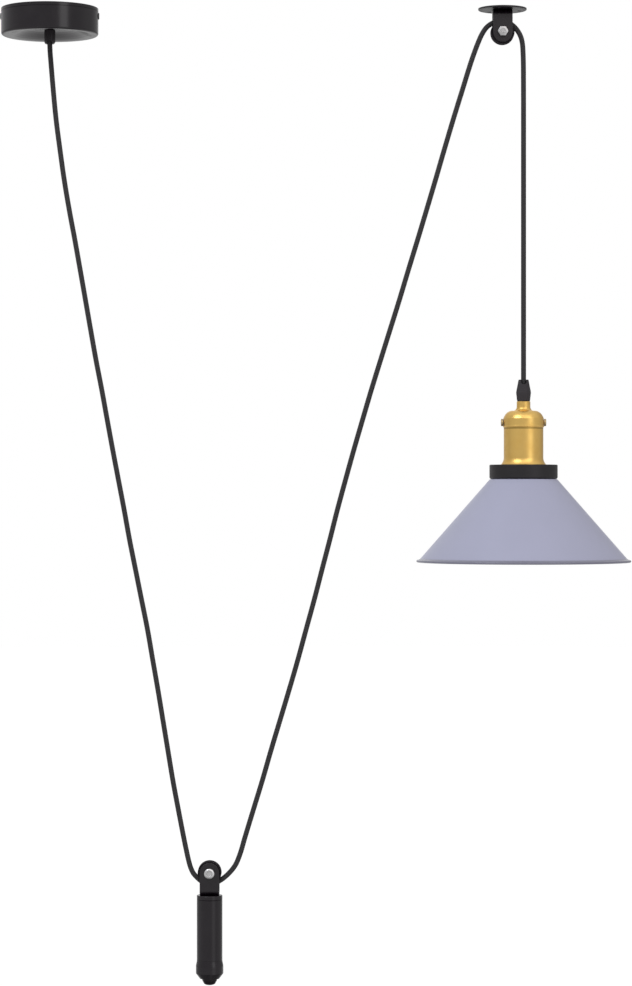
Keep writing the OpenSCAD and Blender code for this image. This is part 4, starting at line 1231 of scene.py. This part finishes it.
@dataclass
class Cord:
    """The textile cord, in two stretches: the long loop over both wheels, and the lamp's drop."""

    studio: Studio
    diameter: float = 0.0053
    sides: int = 20
    loop: CordRoute = field(default_factory=lambda: CordRoute([
        (0, -15.5), (0, -24), (0, -30), (0, -37), (0.3, -45), (1, -54), (3.6, -85), (6.6, -116),
        (10.6, -147), (15.1, -179), (20.3, -210), (26.1, -241), (31.6, -272), (37.2, -304),
        (42.6, -335), (48.1, -366), (54.1, -397), (59.9, -429), (65.6, -460), (71.5, -491),
        (77.4, -522), (83.2, -554), (89.4, -585), (95.6, -616), (101.8, -647), (107.3, -679),
        (112.7, -710), (117.8, -741), (122.9, -772), (128.2, -804), (134, -835), (140, -866),
        (142.3, -877), (144.5, -887), (146.8, -895), (149.6, -900.8), (152.9, -904.6),
        (156.9, -908.2), (161.4, -911), (166.5, -911.8), (171.6, -911), (176.4, -908.8),
        (180.8, -905.9), (185.7, -901.6), (190.4, -896.4), (193.7, -891.5), (196, -886.5),
        (199.6, -876.3), (202.5, -866), (211.9, -835), (221.4, -804), (230.6, -772),
        (239.9, -741), (249.2, -710), (258.2, -679), (266.9, -647), (275.4, -616),
        (283.4, -585), (291.5, -554), (299.6, -522), (308, -491), (316.6, -460), (325.6, -429),
        (335, -397), (344.6, -366), (354.3, -335), (364, -304), (373.6, -272), (383.1, -241),
        (392.4, -210), (401.6, -179), (410.9, -147), (420.1, -116), (429.7, -85), (439.4, -54),
        (446, -36), (450.2, -26.6), (455, -19.6), (460.6, -15.4), (466, -13.4), (471.5, -13.1),
        (477, -14.3), (482, -17.3), (486, -21.3), (489.2, -26.2), (491.2, -31), (492.3, -36)]))
    drop: CordRoute = field(default_factory=lambda: CordRoute([
        (492.32, -36.3), (492.7, -40), (493, -46), (493.3, -56), (493.45, -80), (493.5, -110),
        (493.5, -150), (493.5, -200), (493.5, -250), (493.5, -300), (493.5, -340),
        (493.5, -370), (493.5, -390), (493.5, -410), (493.5, -423.6)]))

    def build(self) -> None:
        samples = self.loop.samples()
        loop = self._tube("cord_loop", samples)
        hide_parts("cord_to_weight", "cord_round_weight_wheel", "cord_to_pulley",
                    "cord_over_ceiling_wheel")
        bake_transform(loop)
        self._declare(loop, samples)
        samples = self.drop.samples()
        drop = self._tube("cord_drop", samples)
        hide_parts("cord_to_lamp")
        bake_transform(drop)
        self._declare(drop, samples)

    def _declare(self, stretch: Piece, samples: Sequence[Vector]) -> None:
        """Log the length of a stretch.

        Args:
            stretch: The piece.
            samples: The points that it follows.
        """
        length = sum((b - a).length for a, b in zip(samples, samples[1:]))
        log.info("%s is %.3f m long", stretch.name, length)

    def _tube(self, name: str, samples: Sequence[Vector]) -> Piece:
        """Draw a ring out along the samples, closed at both ends.

        Args:
            name: The piece's name.
            samples: The centre of each ring.

        Returns:
            The object, with turns and metres in its UV map.
        """
        mesh = bmesh.new()
        last = len(samples) - 1
        side = Vector((0.0, 1.0, 0.0))
        radius = self.diameter / 2
        rings: List[List[Vert]] = []
        start = bmesh.ops.create_circle(mesh, segments=self.sides, radius=radius)["verts"]
        for index, centre in enumerate(samples):
            along = (samples[min(index + 1, last)] - samples[max(index - 1, 0)]).normalized()
            basis = Matrix((side, along.cross(side), along)).transposed()
            ring = start if index == 0 else self._next_ring(mesh, rings[-1])
            for number, vert in enumerate(ring):
                turn = math.tau * number / self.sides
                vert.co = centre + basis @ (Vector((math.cos(turn), math.sin(turn), 0.0)) * radius)
            rings.append(ring)
        cap(mesh, (rings[0], rings[-1]))
        self._unwrap(mesh, rings, samples)
        return self.studio.piece(name, mesh, CORD_BRAID, smooth=60.0)

    def _next_ring(self, mesh: Mesh, ring: Sequence[Vert]) -> List[Vert]:
        """Extrude a ring's edges.

        Args:
            mesh: The bmesh.
            ring: The ring's vertices, in their order.

        Returns:
            The new ring's vertices, in the same order.
        """
        edges = [mesh.edges.get(pair) for pair in zip(ring, [*ring[1:], ring[0]])]
        fresh = set(verts_in(bmesh.ops.extrude_edge_only(mesh, edges=edges)["geom"]))
        return [next(edge.other_vert(vert) for edge in vert.link_edges
                     if edge.other_vert(vert) in fresh) for vert in ring]

    def _unwrap(self, mesh: Mesh, rings: Sequence[Sequence[Vert]],
                samples: Sequence[Vector]) -> None:
        """Write turns round the cord and metres along it into the UV map.

        Args:
            mesh: The bmesh.
            rings: The vertices of each ring, in their order.
            samples: The centre of each ring.
        """
        layer = mesh.loops.layers.uv.new("UVMap")
        place: Dict[Vert, Tuple[int, float]] = {}
        metres = 0.0
        for index, ring in enumerate(rings):
            metres += (samples[index] - samples[index - 1]).length if index else 0.0
            for number, vert in enumerate(ring):
                place[vert] = (number, metres)
        for face in mesh.faces:
            numbers = [place[loop.vert][0] for loop in face.loops]
            wraps = max(numbers) - min(numbers) > 1
            for loop, number in zip(face.loops, numbers):
                turn = number + self.sides if wraps and number == 0 else number
                loop[layer].uv = (turn / self.sides, place[loop.vert][1])


# ---------------------------------------------------------------------------
# Sub-assemblies
# ---------------------------------------------------------------------------


@dataclass
class SubAssembly:
    """A group of CAD nodes with a finish each, and the pieces that stand in for some of them."""

    studio: Studio

    def finishes(self) -> Dict[Finish, str]:
        """The finish of each node that keeps its shape, with the nodes' names in one string."""
        raise NotImplementedError

    def pieces(self) -> None:
        """Make the pieces that stand in for nodes, where the group has them."""

    def build(self) -> None:
        """Dress the nodes and make the pieces."""
        for finish, names in self.finishes().items():
            for name in names.split():
                self.studio.dress(self.studio.frame["nodes"][name], finish)
        self.pieces()


@dataclass
class CeilingRose(SubAssembly):
    """The black rose, its cord grip and the wiring it hides."""

    def finishes(self) -> Dict[Finish, str]:
        """The rose's finishes."""
        return {GLOSS_BLACK: "rose_cup rose_side_screws",
                ROSE_GRIP_BLACK: "rose_cord_grip",
                PLATED_STEEL: "rose_bracket rose_nipple rose_nut terminal_screws "
                              "terminal_fixing_screw",
                FITTING_BRASS: "terminal_inserts earth_screw",
                BLOCK_WHITE: "terminal_block",
                LIVE_BROWN: "rose_core_live",
                NEUTRAL_BLUE: "rose_core_neutral",
                EARTH_GREEN: "rose_core_earth"}


@dataclass
class CeilingPulley(SubAssembly):
    """The ceiling plate, its strap and the grooved wheel."""

    plate_t: float = 0.00171
    rivet_hole_r: float = 0.00255
    axle_z: float = -0.025

    def finishes(self) -> Dict[Finish, str]:
        """The pulley's finishes."""
        return {BRACKET_BLACK: "pulley_rivet",
                PLATE_BLACK: "pulley_plate",
                CEILING_STEEL: "pulley_axle_nut pulley_axle_washers",
                WHEEL_BLACK: "ceiling_wheel",
                BUSH_BRASS: "ceiling_wheel_bush"}

    def pieces(self) -> None:
        """Make the strap and the bolt."""
        mesh = Strap(self.rivet_hole_r).mesh((PULLEY_X, 0.0, -self.plate_t), upright=False)
        strap = self.studio.piece("pulley_bracket", mesh, BRACKET_BLACK, flat_faces=True)
        instead(strap, "pulley_strap", "ceiling_fixings")
        mesh = HexBolt().mesh((PULLEY_X, 0.0, self.axle_z))
        bolt = self.studio.piece("pulley_hex_bolt", mesh, CEILING_STEEL)
        instead(bolt, "pulley_axle_bolt", "ceiling_fixings")


@dataclass
class Counterweight(SubAssembly):
    """The slim weight, its strap and its grooved wheel."""

    top_z: float = -0.92329
    screw_hole_r: float = 0.0026

    def finishes(self) -> Dict[Finish, str]:
        """The weight's finishes."""
        return {WEIGHT_STEEL: "weight_axle_nut weight_axle_washers",
                PLATED_STEEL: "weight_strap_screw",
                WEIGHT_BLACK: "weight_top_cap weight_sleeve weight_end_cap",
                KNOB_SHADED_BLACK: "weight_knob",
                CORE_STEEL: "weight_core",
                WHEEL_BLACK: "weight_wheel",
                BUSH_BRASS: "weight_wheel_bush"}

    def pieces(self) -> None:
        """Make the strap and the pin."""
        mesh = Strap(self.screw_hole_r).mesh((WEIGHT_X, 0.0, self.top_z), upright=True)
        strap = self.studio.piece("weight_bracket", mesh, BRACKET_BLACK, flat_faces=True)
        instead(strap, "weight_strap", "counterweight")
        mesh = DomedPin().mesh((WEIGHT_X, 0.0, WEIGHT_AXLE_Z))
        pin = self.studio.piece("weight_domed_pin", mesh, WEIGHT_STEEL)
        instead(pin, "weight_axle_pin", "counterweight")


@dataclass
class Lampholder(SubAssembly):
    """The brass holder with its cord grip, socket and wiring."""

    grip_levels: Outline = ((0.00695, -0.4087), (0.00795, -0.39982), (0.0054, -0.3865))
    grip_edge: float = 0.0006
    cord_bore_r: float = 0.00285
    nipple_bore_r: float = 0.00495
    nipple_depth: float = 0.005
    past: float = 0.01
    notch: float = 0.005
    notch_steps: int = 48
    collar_r: float = 0.00645
    collar_h: float = 0.0004
    thread_r: float = 0.01325
    thread_sheet: float = 0.0005
    thread_depth: float = 0.0008
    thread_pitch: float = 0.00362
    thread_levels: Tuple[float, float] = (-0.5065, -0.4845)
    thread_runout: float = 0.002
    thread_collar: float = 0.003
    thread_steps: int = 72
    spring_wire_r: float = 0.00025
    spring_sides: int = 10
    spring_turns: int = 4
    spring_steps: int = 24
    contact_travel: float = 0.0015

    def finishes(self) -> Dict[Finish, str]:
        """The holder's finishes."""
        return {HOLDER_BRASS: "holder_cap holder_shell",
                SCREW_BRASS: "holder_side_screws",
                FITTING_BRASS: "lamp_nipple lamp_earth_tag centre_contact lamp_terminals",
                PLATED_STEEL: "lamp_nipple_nut lamp_terminal_screws",
                RING_BLACK: "holder_skirt",
                PORCELAIN: "socket_insert",
                LIVE_BROWN: "lamp_core_live",
                NEUTRAL_BLUE: "lamp_core_neutral",
                EARTH_GREEN: "lamp_core_earth"}

    def pieces(self) -> None:
        """Make the cord grip, the screw shell and the contact's spring."""
        self._cord_grip()
        self._screw_shell()
        self._contact_spring()

    def _cord_grip(self) -> None:
        """Make the six-sided grip: eased edges, the cord's notch across its top and its bores."""
        mesh = bmesh.new()
        foot_r, foot_z = self.grip_levels[0]
        placed = Matrix.Translation((LAMP_X, 0.0, foot_z)) @ Matrix.Rotation(math.pi / 6, 4, "Z")
        ring = bmesh.ops.create_circle(mesh, segments=6, radius=foot_r, matrix=placed)["verts"]
        foot = rim_edges(ring)
        for (below_r, below_z), (above_r, above_z) in zip(self.grip_levels, self.grip_levels[1:]):
            ring = verts_in(bmesh.ops.extrude_edge_only(mesh, edges=rim_edges(ring))["geom"])
            bmesh.ops.translate(mesh, verts=ring, vec=(0.0, 0.0, above_z - below_z))
            share = above_r / below_r
            bmesh.ops.scale(mesh, verts=ring, vec=(share, share, 1.0),
                            space=Matrix.Translation((-LAMP_X, 0.0, 0.0)))
        cap(mesh, (foot, rim_edges(ring)))
        ease(mesh, mesh.edges[:], self.grip_edge)
        top_z = self.grip_levels[-1][1]
        bore = tube(0.0, self.cord_bore_r, foot_z - self.past, top_z + self.past)
        wide = tube(0.0, self.nipple_bore_r, foot_z - self.past, foot_z + self.nipple_depth)
        mesh = cut_away(mesh, [self._notch_cutter(top_z), bore, wide])
        join(mesh, tube(self.nipple_bore_r, self.collar_r, foot_z - self.collar_h, foot_z))
        grip = self.studio.piece("lamp_hex_grip", mesh, GRIP_BLACK, smooth=28.0, flat_faces=True)
        instead(grip, "lamp_cord_grip", "lamp")

    def _notch_cutter(self, top_z: float) -> Mesh:
        """A round-bottomed bar along Y that cuts the notch.

        Args:
            top_z: The level of the grip's top.

        Returns:
            The bmesh.
        """
        mesh = bmesh.new()
        reach, centre_z = 2 * self.past, top_z - self.notch + self.cord_bore_r
        ring = bmesh.ops.create_circle(mesh, cap_ends=True, segments=self.notch_steps,
                                       radius=self.cord_bore_r)["verts"]
        for vert in ring:
            x, z = vert.co.x, vert.co.y
            lift = self.notch if z > -1e-6 else 0.0
            vert.co = (LAMP_X + x, -reach, centre_z + z + lift)
        drawn = bmesh.ops.extrude_face_region(mesh, geom=mesh.faces[:])["geom"]
        bmesh.ops.translate(mesh, verts=verts_in(drawn), vec=(0.0, 2 * reach, 0.0))
        outward(mesh)
        return mesh

    def _screw_shell(self) -> None:
        """Make the rolled screw shell, a thin sheet that winds in and out along the thread."""
        low, high = self.thread_levels
        steps = self.thread_steps
        heights = [low + (high - low) * row / steps for row in range(steps + 1)]
        outer_r = self.thread_r + self.thread_sheet
        mesh = lathe([(self.thread_r, height) for height in heights]
                     + [(outer_r, height) for height in reversed(heights)], (0.0, 0.0, 0.0),
                     steps=steps)
        for vert in mesh.verts:
            turn = math.atan2(vert.co.y, vert.co.x)
            rise, left = vert.co.z - low, high - self.thread_collar - vert.co.z
            wave = 0.5 - 0.5 * math.cos(math.tau * rise / self.thread_pitch - turn)
            fade = max(0.0, min(1.0, rise / self.thread_runout, left / self.thread_runout))
            share = 1.0 - self.thread_depth * wave * fade / math.hypot(vert.co.x, vert.co.y)
            vert.co.x *= share
            vert.co.y *= share
        shift(mesh, (LAMP_X, 0.0, 0.0))
        shell = self.studio.piece("rolled_screw_shell", mesh, FITTING_BRASS, smooth=60.0)
        instead(shell, "screw_shell", "lamp")

    def _contact_spring(self) -> None:
        """Make the spring that hangs from the insert."""
        low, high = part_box("contact_spring")
        coil_r = (high[0] - low[0]) / 2 - self.spring_wire_r
        height = high[2] - low[2]
        foot_z, rise = low[2] + self.spring_wire_r, height - 2 * self.spring_wire_r
        steps = self.spring_steps * self.spring_turns
        mesh = bmesh.new()
        placed = (Matrix.Translation((LAMP_X + coil_r, 0.0, foot_z))
                  @ Matrix.Rotation(math.pi / 2, 4, "X"))
        ring = bmesh.ops.create_circle(mesh, segments=self.spring_sides, radius=self.spring_wire_r,
                                       matrix=placed)["verts"]
        foot = rim_edges(ring)
        last = bmesh.ops.spin(mesh, geom=ring + foot, cent=(LAMP_X, 0.0, 0.0),
                              axis=(0.0, 0.0, 1.0), dvec=(0.0, 0.0, rise / steps),
                              angle=math.tau * self.spring_turns, steps=steps,
                              use_duplicate=False)["geom_last"]
        cap(mesh, (foot, [item for item in last if isinstance(item, Edge)]))
        spring = self.studio.piece("contact_coil_spring", mesh, PLATED_STEEL, smooth=60.0)
        instead(spring, "contact_spring", "lamp")
        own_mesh(spring)


@dataclass
class Shade(SubAssembly):
    """The conical shade, the black ring on top of it and the ring nut under it."""

    def finishes(self) -> Dict[Finish, str]:
        """The shade's finishes."""
        return {SHADE_LACQUER: "shade", RING_BLACK: "shade_ring shade_nut"}


# ---------------------------------------------------------------------------
# Camera, floor and light
# ---------------------------------------------------------------------------


@dataclass
class Camera:
    """The photograph's camera: level, straight on, 3.27 m in front of the cord's plane."""

    place: Point = (0.2773, -3.271, -0.5046)
    lens: float = 114.64
    sensor: float = 36.0
    clip: Tuple[float, float] = (0.05, 60.0)

    def build(self) -> None:
        """Make the camera and use it."""
        data = bpy.data.cameras.new("camera")
        data.lens, data.sensor_width = self.lens, self.sensor
        data.clip_start, data.clip_end = self.clip
        camera = link_new("camera", data)
        camera.location = self.place
        camera.rotation_euler = (math.pi / 2, 0.0, 0.0)
        bpy.context.scene.camera = camera


@dataclass(frozen=True)
class Softbox:
    """One square lamp that points at a target."""

    name: str
    place: Point
    target: Point
    size: float
    power: float
    colour: Colour

    def build(self) -> None:
        """Hang the lamp."""
        data = bpy.data.lights.new(self.name, "AREA")
        data.shape = "RECTANGLE"
        data.size = data.size_y = self.size
        data.energy = self.power
        data.color = self.colour
        lamp = link_new(self.name, data)
        lamp.location = self.place
        aim = Vector(self.target) - Vector(self.place)
        lamp.rotation_euler = aim.to_track_quat("-Z", "Y").to_euler()
        lamp.visible_camera = False


@dataclass
class Room:
    """A pale floor, a pale surround and soft studio light.

    The floor and the surround are white to the camera. In reflections they are a calm studio with
    lighter and darker parts, because black enamel shows little but these.
    """

    floor_z: float = -1.35
    floor_r: float = 14.0
    floor_sides: int = 64
    floor_x: float = 0.25
    pool_x: float = 0.28
    paper: Colour = (0.8, 0.8, 0.8)
    shadowed: Colour = (0.18, 0.18, 0.18)
    paper_glow: float = 0.9
    pool_level: float = 0.08
    pool: Fade = Fade(0.3, 1.1, 0.48)
    floor_back: Fade = Fade(0.2, 1.1)
    far_loss: Fade = Fade(2.5, 8.0, 0.5)
    side_loss: Fade = Fade(0.8, 2.0, 0.6)
    streak: Fade = Fade(0.95, 0.99, 0.35)
    strip_turn: float = math.radians(38.0)
    strip: Fade = Fade(0.974, 0.997)
    glow: Fade = Fade(0.93, 0.99, 0.14)
    diffuse_level: float = 0.68
    front_level: float = 0.6
    flank_level: float = 0.62
    flank_loss: Fade = Fade(-0.4, 0.4, 0.2)
    flanked: Fade = Fade(0.05, 0.7)
    backdrop: Fade = Fade(0.94, 0.985)
    horizon_level: float = 0.5
    horizon: Fade = Fade(-0.04, 0.06, 0.5)
    ceiling: Fade = Fade(0.3, 0.9)
    ceiling_level: float = 0.8
    boxes: Sequence[Softbox] = (
        Softbox("key_left", (-1.4, -1.95, 1.9), (0.35, 0.0, -0.45), 1.7, 38.0, (0.9, 0.95, 1.0)),
        Softbox("fill_right", (1.6, -3.0, 2.2), (0.4, 0.0, -0.45), 3.0, 28.0, (1.0, 0.9, 0.88)),
    )

    def build(self) -> None:
        """Make the floor, the surround and the lamps."""
        self._floor()
        self._surround()
        for box in self.boxes:
            box.build()

    @staticmethod
    def _rays(bench: Bench) -> Tuple[Wire, Wire]:
        """Whether a ray comes straight from the camera or through glass, and whether it is glossy.

        Args:
            bench: The bench.

        Returns:
            Both answers, each 0 or 1.
        """
        camera, through, glossy = bench.outputs("ShaderNodeLightPath", {}, "Is Camera Ray",
                                                "Is Transmission Ray", "Is Glossy Ray")
        return camera + through, glossy

    def _floor(self) -> None:
        """A round floor that keeps shadows and can be seen through from below."""
        mesh = bmesh.new()
        bmesh.ops.create_circle(mesh, cap_ends=True, segments=self.floor_sides,
                                radius=self.floor_r)
        shift(mesh, (self.floor_x, 0.0, self.floor_z))
        outward(mesh)
        if mesh.faces[:][0].normal.z < 0.0:
            bmesh.ops.reverse_faces(mesh, faces=mesh.faces[:])
        floor = link_new("floor", to_data("floor", mesh))
        floor.data.materials.append(self._paper())

    def _paper(self) -> Material:
        """The floor's material.

        Returns:
            The material: matte, with a glow for the rays that show the floor itself.
        """
        bench = Bench.for_material("floor_paper")
        direct, glossy = self._rays(bench)
        seen = (direct + glossy).apply("MINIMUM", 1.0)
        strength = 1.0 - glossy * (1.0 - self._floor_level(bench))
        matte = bench.node("ShaderNodeBsdfDiffuse", {}, {"Color": self.paper})
        glow = bench.node("ShaderNodeEmission", {},
                          {"Color": WHITE, "Strength": strength * self.paper_glow})
        shadowed = bench.node("ShaderNodeBsdfDiffuse", {}, {"Color": self.shadowed})
        both = bench.node("ShaderNodeAddShader", {}, {0: glow, 1: shadowed})
        lit = bench.node("ShaderNodeMixShader", {}, {0: seen, 1: matte, 2: both})
        below = bench.node("ShaderNodeNewGeometry", {}, {}, "Backfacing")
        clear = bench.node("ShaderNodeBsdfTransparent", {}, {})
        return bench.close(bench.node("ShaderNodeMixShader", {}, {0: below, 1: lit, 2: clear}),
                           "Material")

    def _strip_side(self, right: Wire, back: Wire) -> Wire:
        """How far an offset reaches towards the strip light."""
        return right * math.sin(self.strip_turn) - back * math.cos(self.strip_turn)

    def _floor_level(self, bench: Bench) -> Wire:
        """How bright each place of the floor is in a reflection.

        Args:
            bench: The floor's bench.

        Returns:
            The level: dim under the object, white behind it, and a bright streak under the strip.
        """
        x, y, _ = bench.split(bench.places())
        across, beside = x - self.pool_x, x - WEIGHT_X
        behind = self.floor_back.of(y)
        back = (1.0 - self.far_loss.of(y)) * (1.0 - self.side_loss.of(across.apply("ABSOLUTE")))
        near = self.pool_level + self.pool.of(bench.length(across, y))
        aside = self._strip_side(beside, y) / (bench.length(beside, y) + NEVER_ZERO)
        return near * (1.0 - behind) + behind * back + self.streak.of(aside)

    def _surround(self) -> None:
        """Make the world."""
        world = bpy.data.worlds.new("surround")
        bpy.context.scene.world = world
        world.use_nodes = True
        bench = Bench(world.node_tree)
        direct, glossy = self._rays(bench)
        seen = direct.apply("MINIMUM", 1.0)
        level = glossy * self._studio_level(bench) + (1.0 - glossy) * self.diffuse_level
        bench.close(bench.node("ShaderNodeBackground", {}, {
            "Color": WHITE, "Strength": seen + (1.0 - seen) * level}), "World")

    def _studio_level(self, bench: Bench) -> Wire:
        """How bright each direction of the studio is in a reflection.

        Args:
            bench: The world's bench.

        Returns:
            The level: an even front with one tall strip light at the right, greyer flanks, a white
            backdrop and a bright ceiling.
        """
        x, y, z = bench.split(bench.node("ShaderNodeTexCoord", {}, {}, "Generated"))
        across = bench.length(x, y) + NEVER_ZERO
        side, back = x / across, y / across
        aside = self._strip_side(side, back)
        behind, backdrop = self.flanked.of(back), self.backdrop.of(back)
        flank = self.flank_level - self.flank_loss.of(side)
        level = self.front_level * (1.0 - behind) + behind * flank
        level = level * (1.0 - backdrop) + backdrop * (self.horizon_level + self.horizon.of(z))
        level = level + (self.strip.of(aside) + self.glow.of(aside))
        ceiling = self.ceiling.of(z)
        return level * (1.0 - ceiling) + ceiling * self.ceiling_level


def main() -> None:
    """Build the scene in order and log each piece."""
    logging.basicConfig(level=logging.INFO, format="%(name)s: %(message)s")
    for obj in list(bpy.data.objects):
        bpy.data.objects.remove(obj)
    bpy.context.scene.view_settings.view_transform = "Standard"
    studio = Studio(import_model())
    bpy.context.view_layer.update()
    Camera().build()
    Cord(studio).build()
    for assembly in (CeilingRose, CeilingPulley, Counterweight, Lampholder, Shade):
        assembly(studio).build()
    Room().build()
    log.info("%d pieces", len(studio.made))


if __name__ == "__main__":
    main()
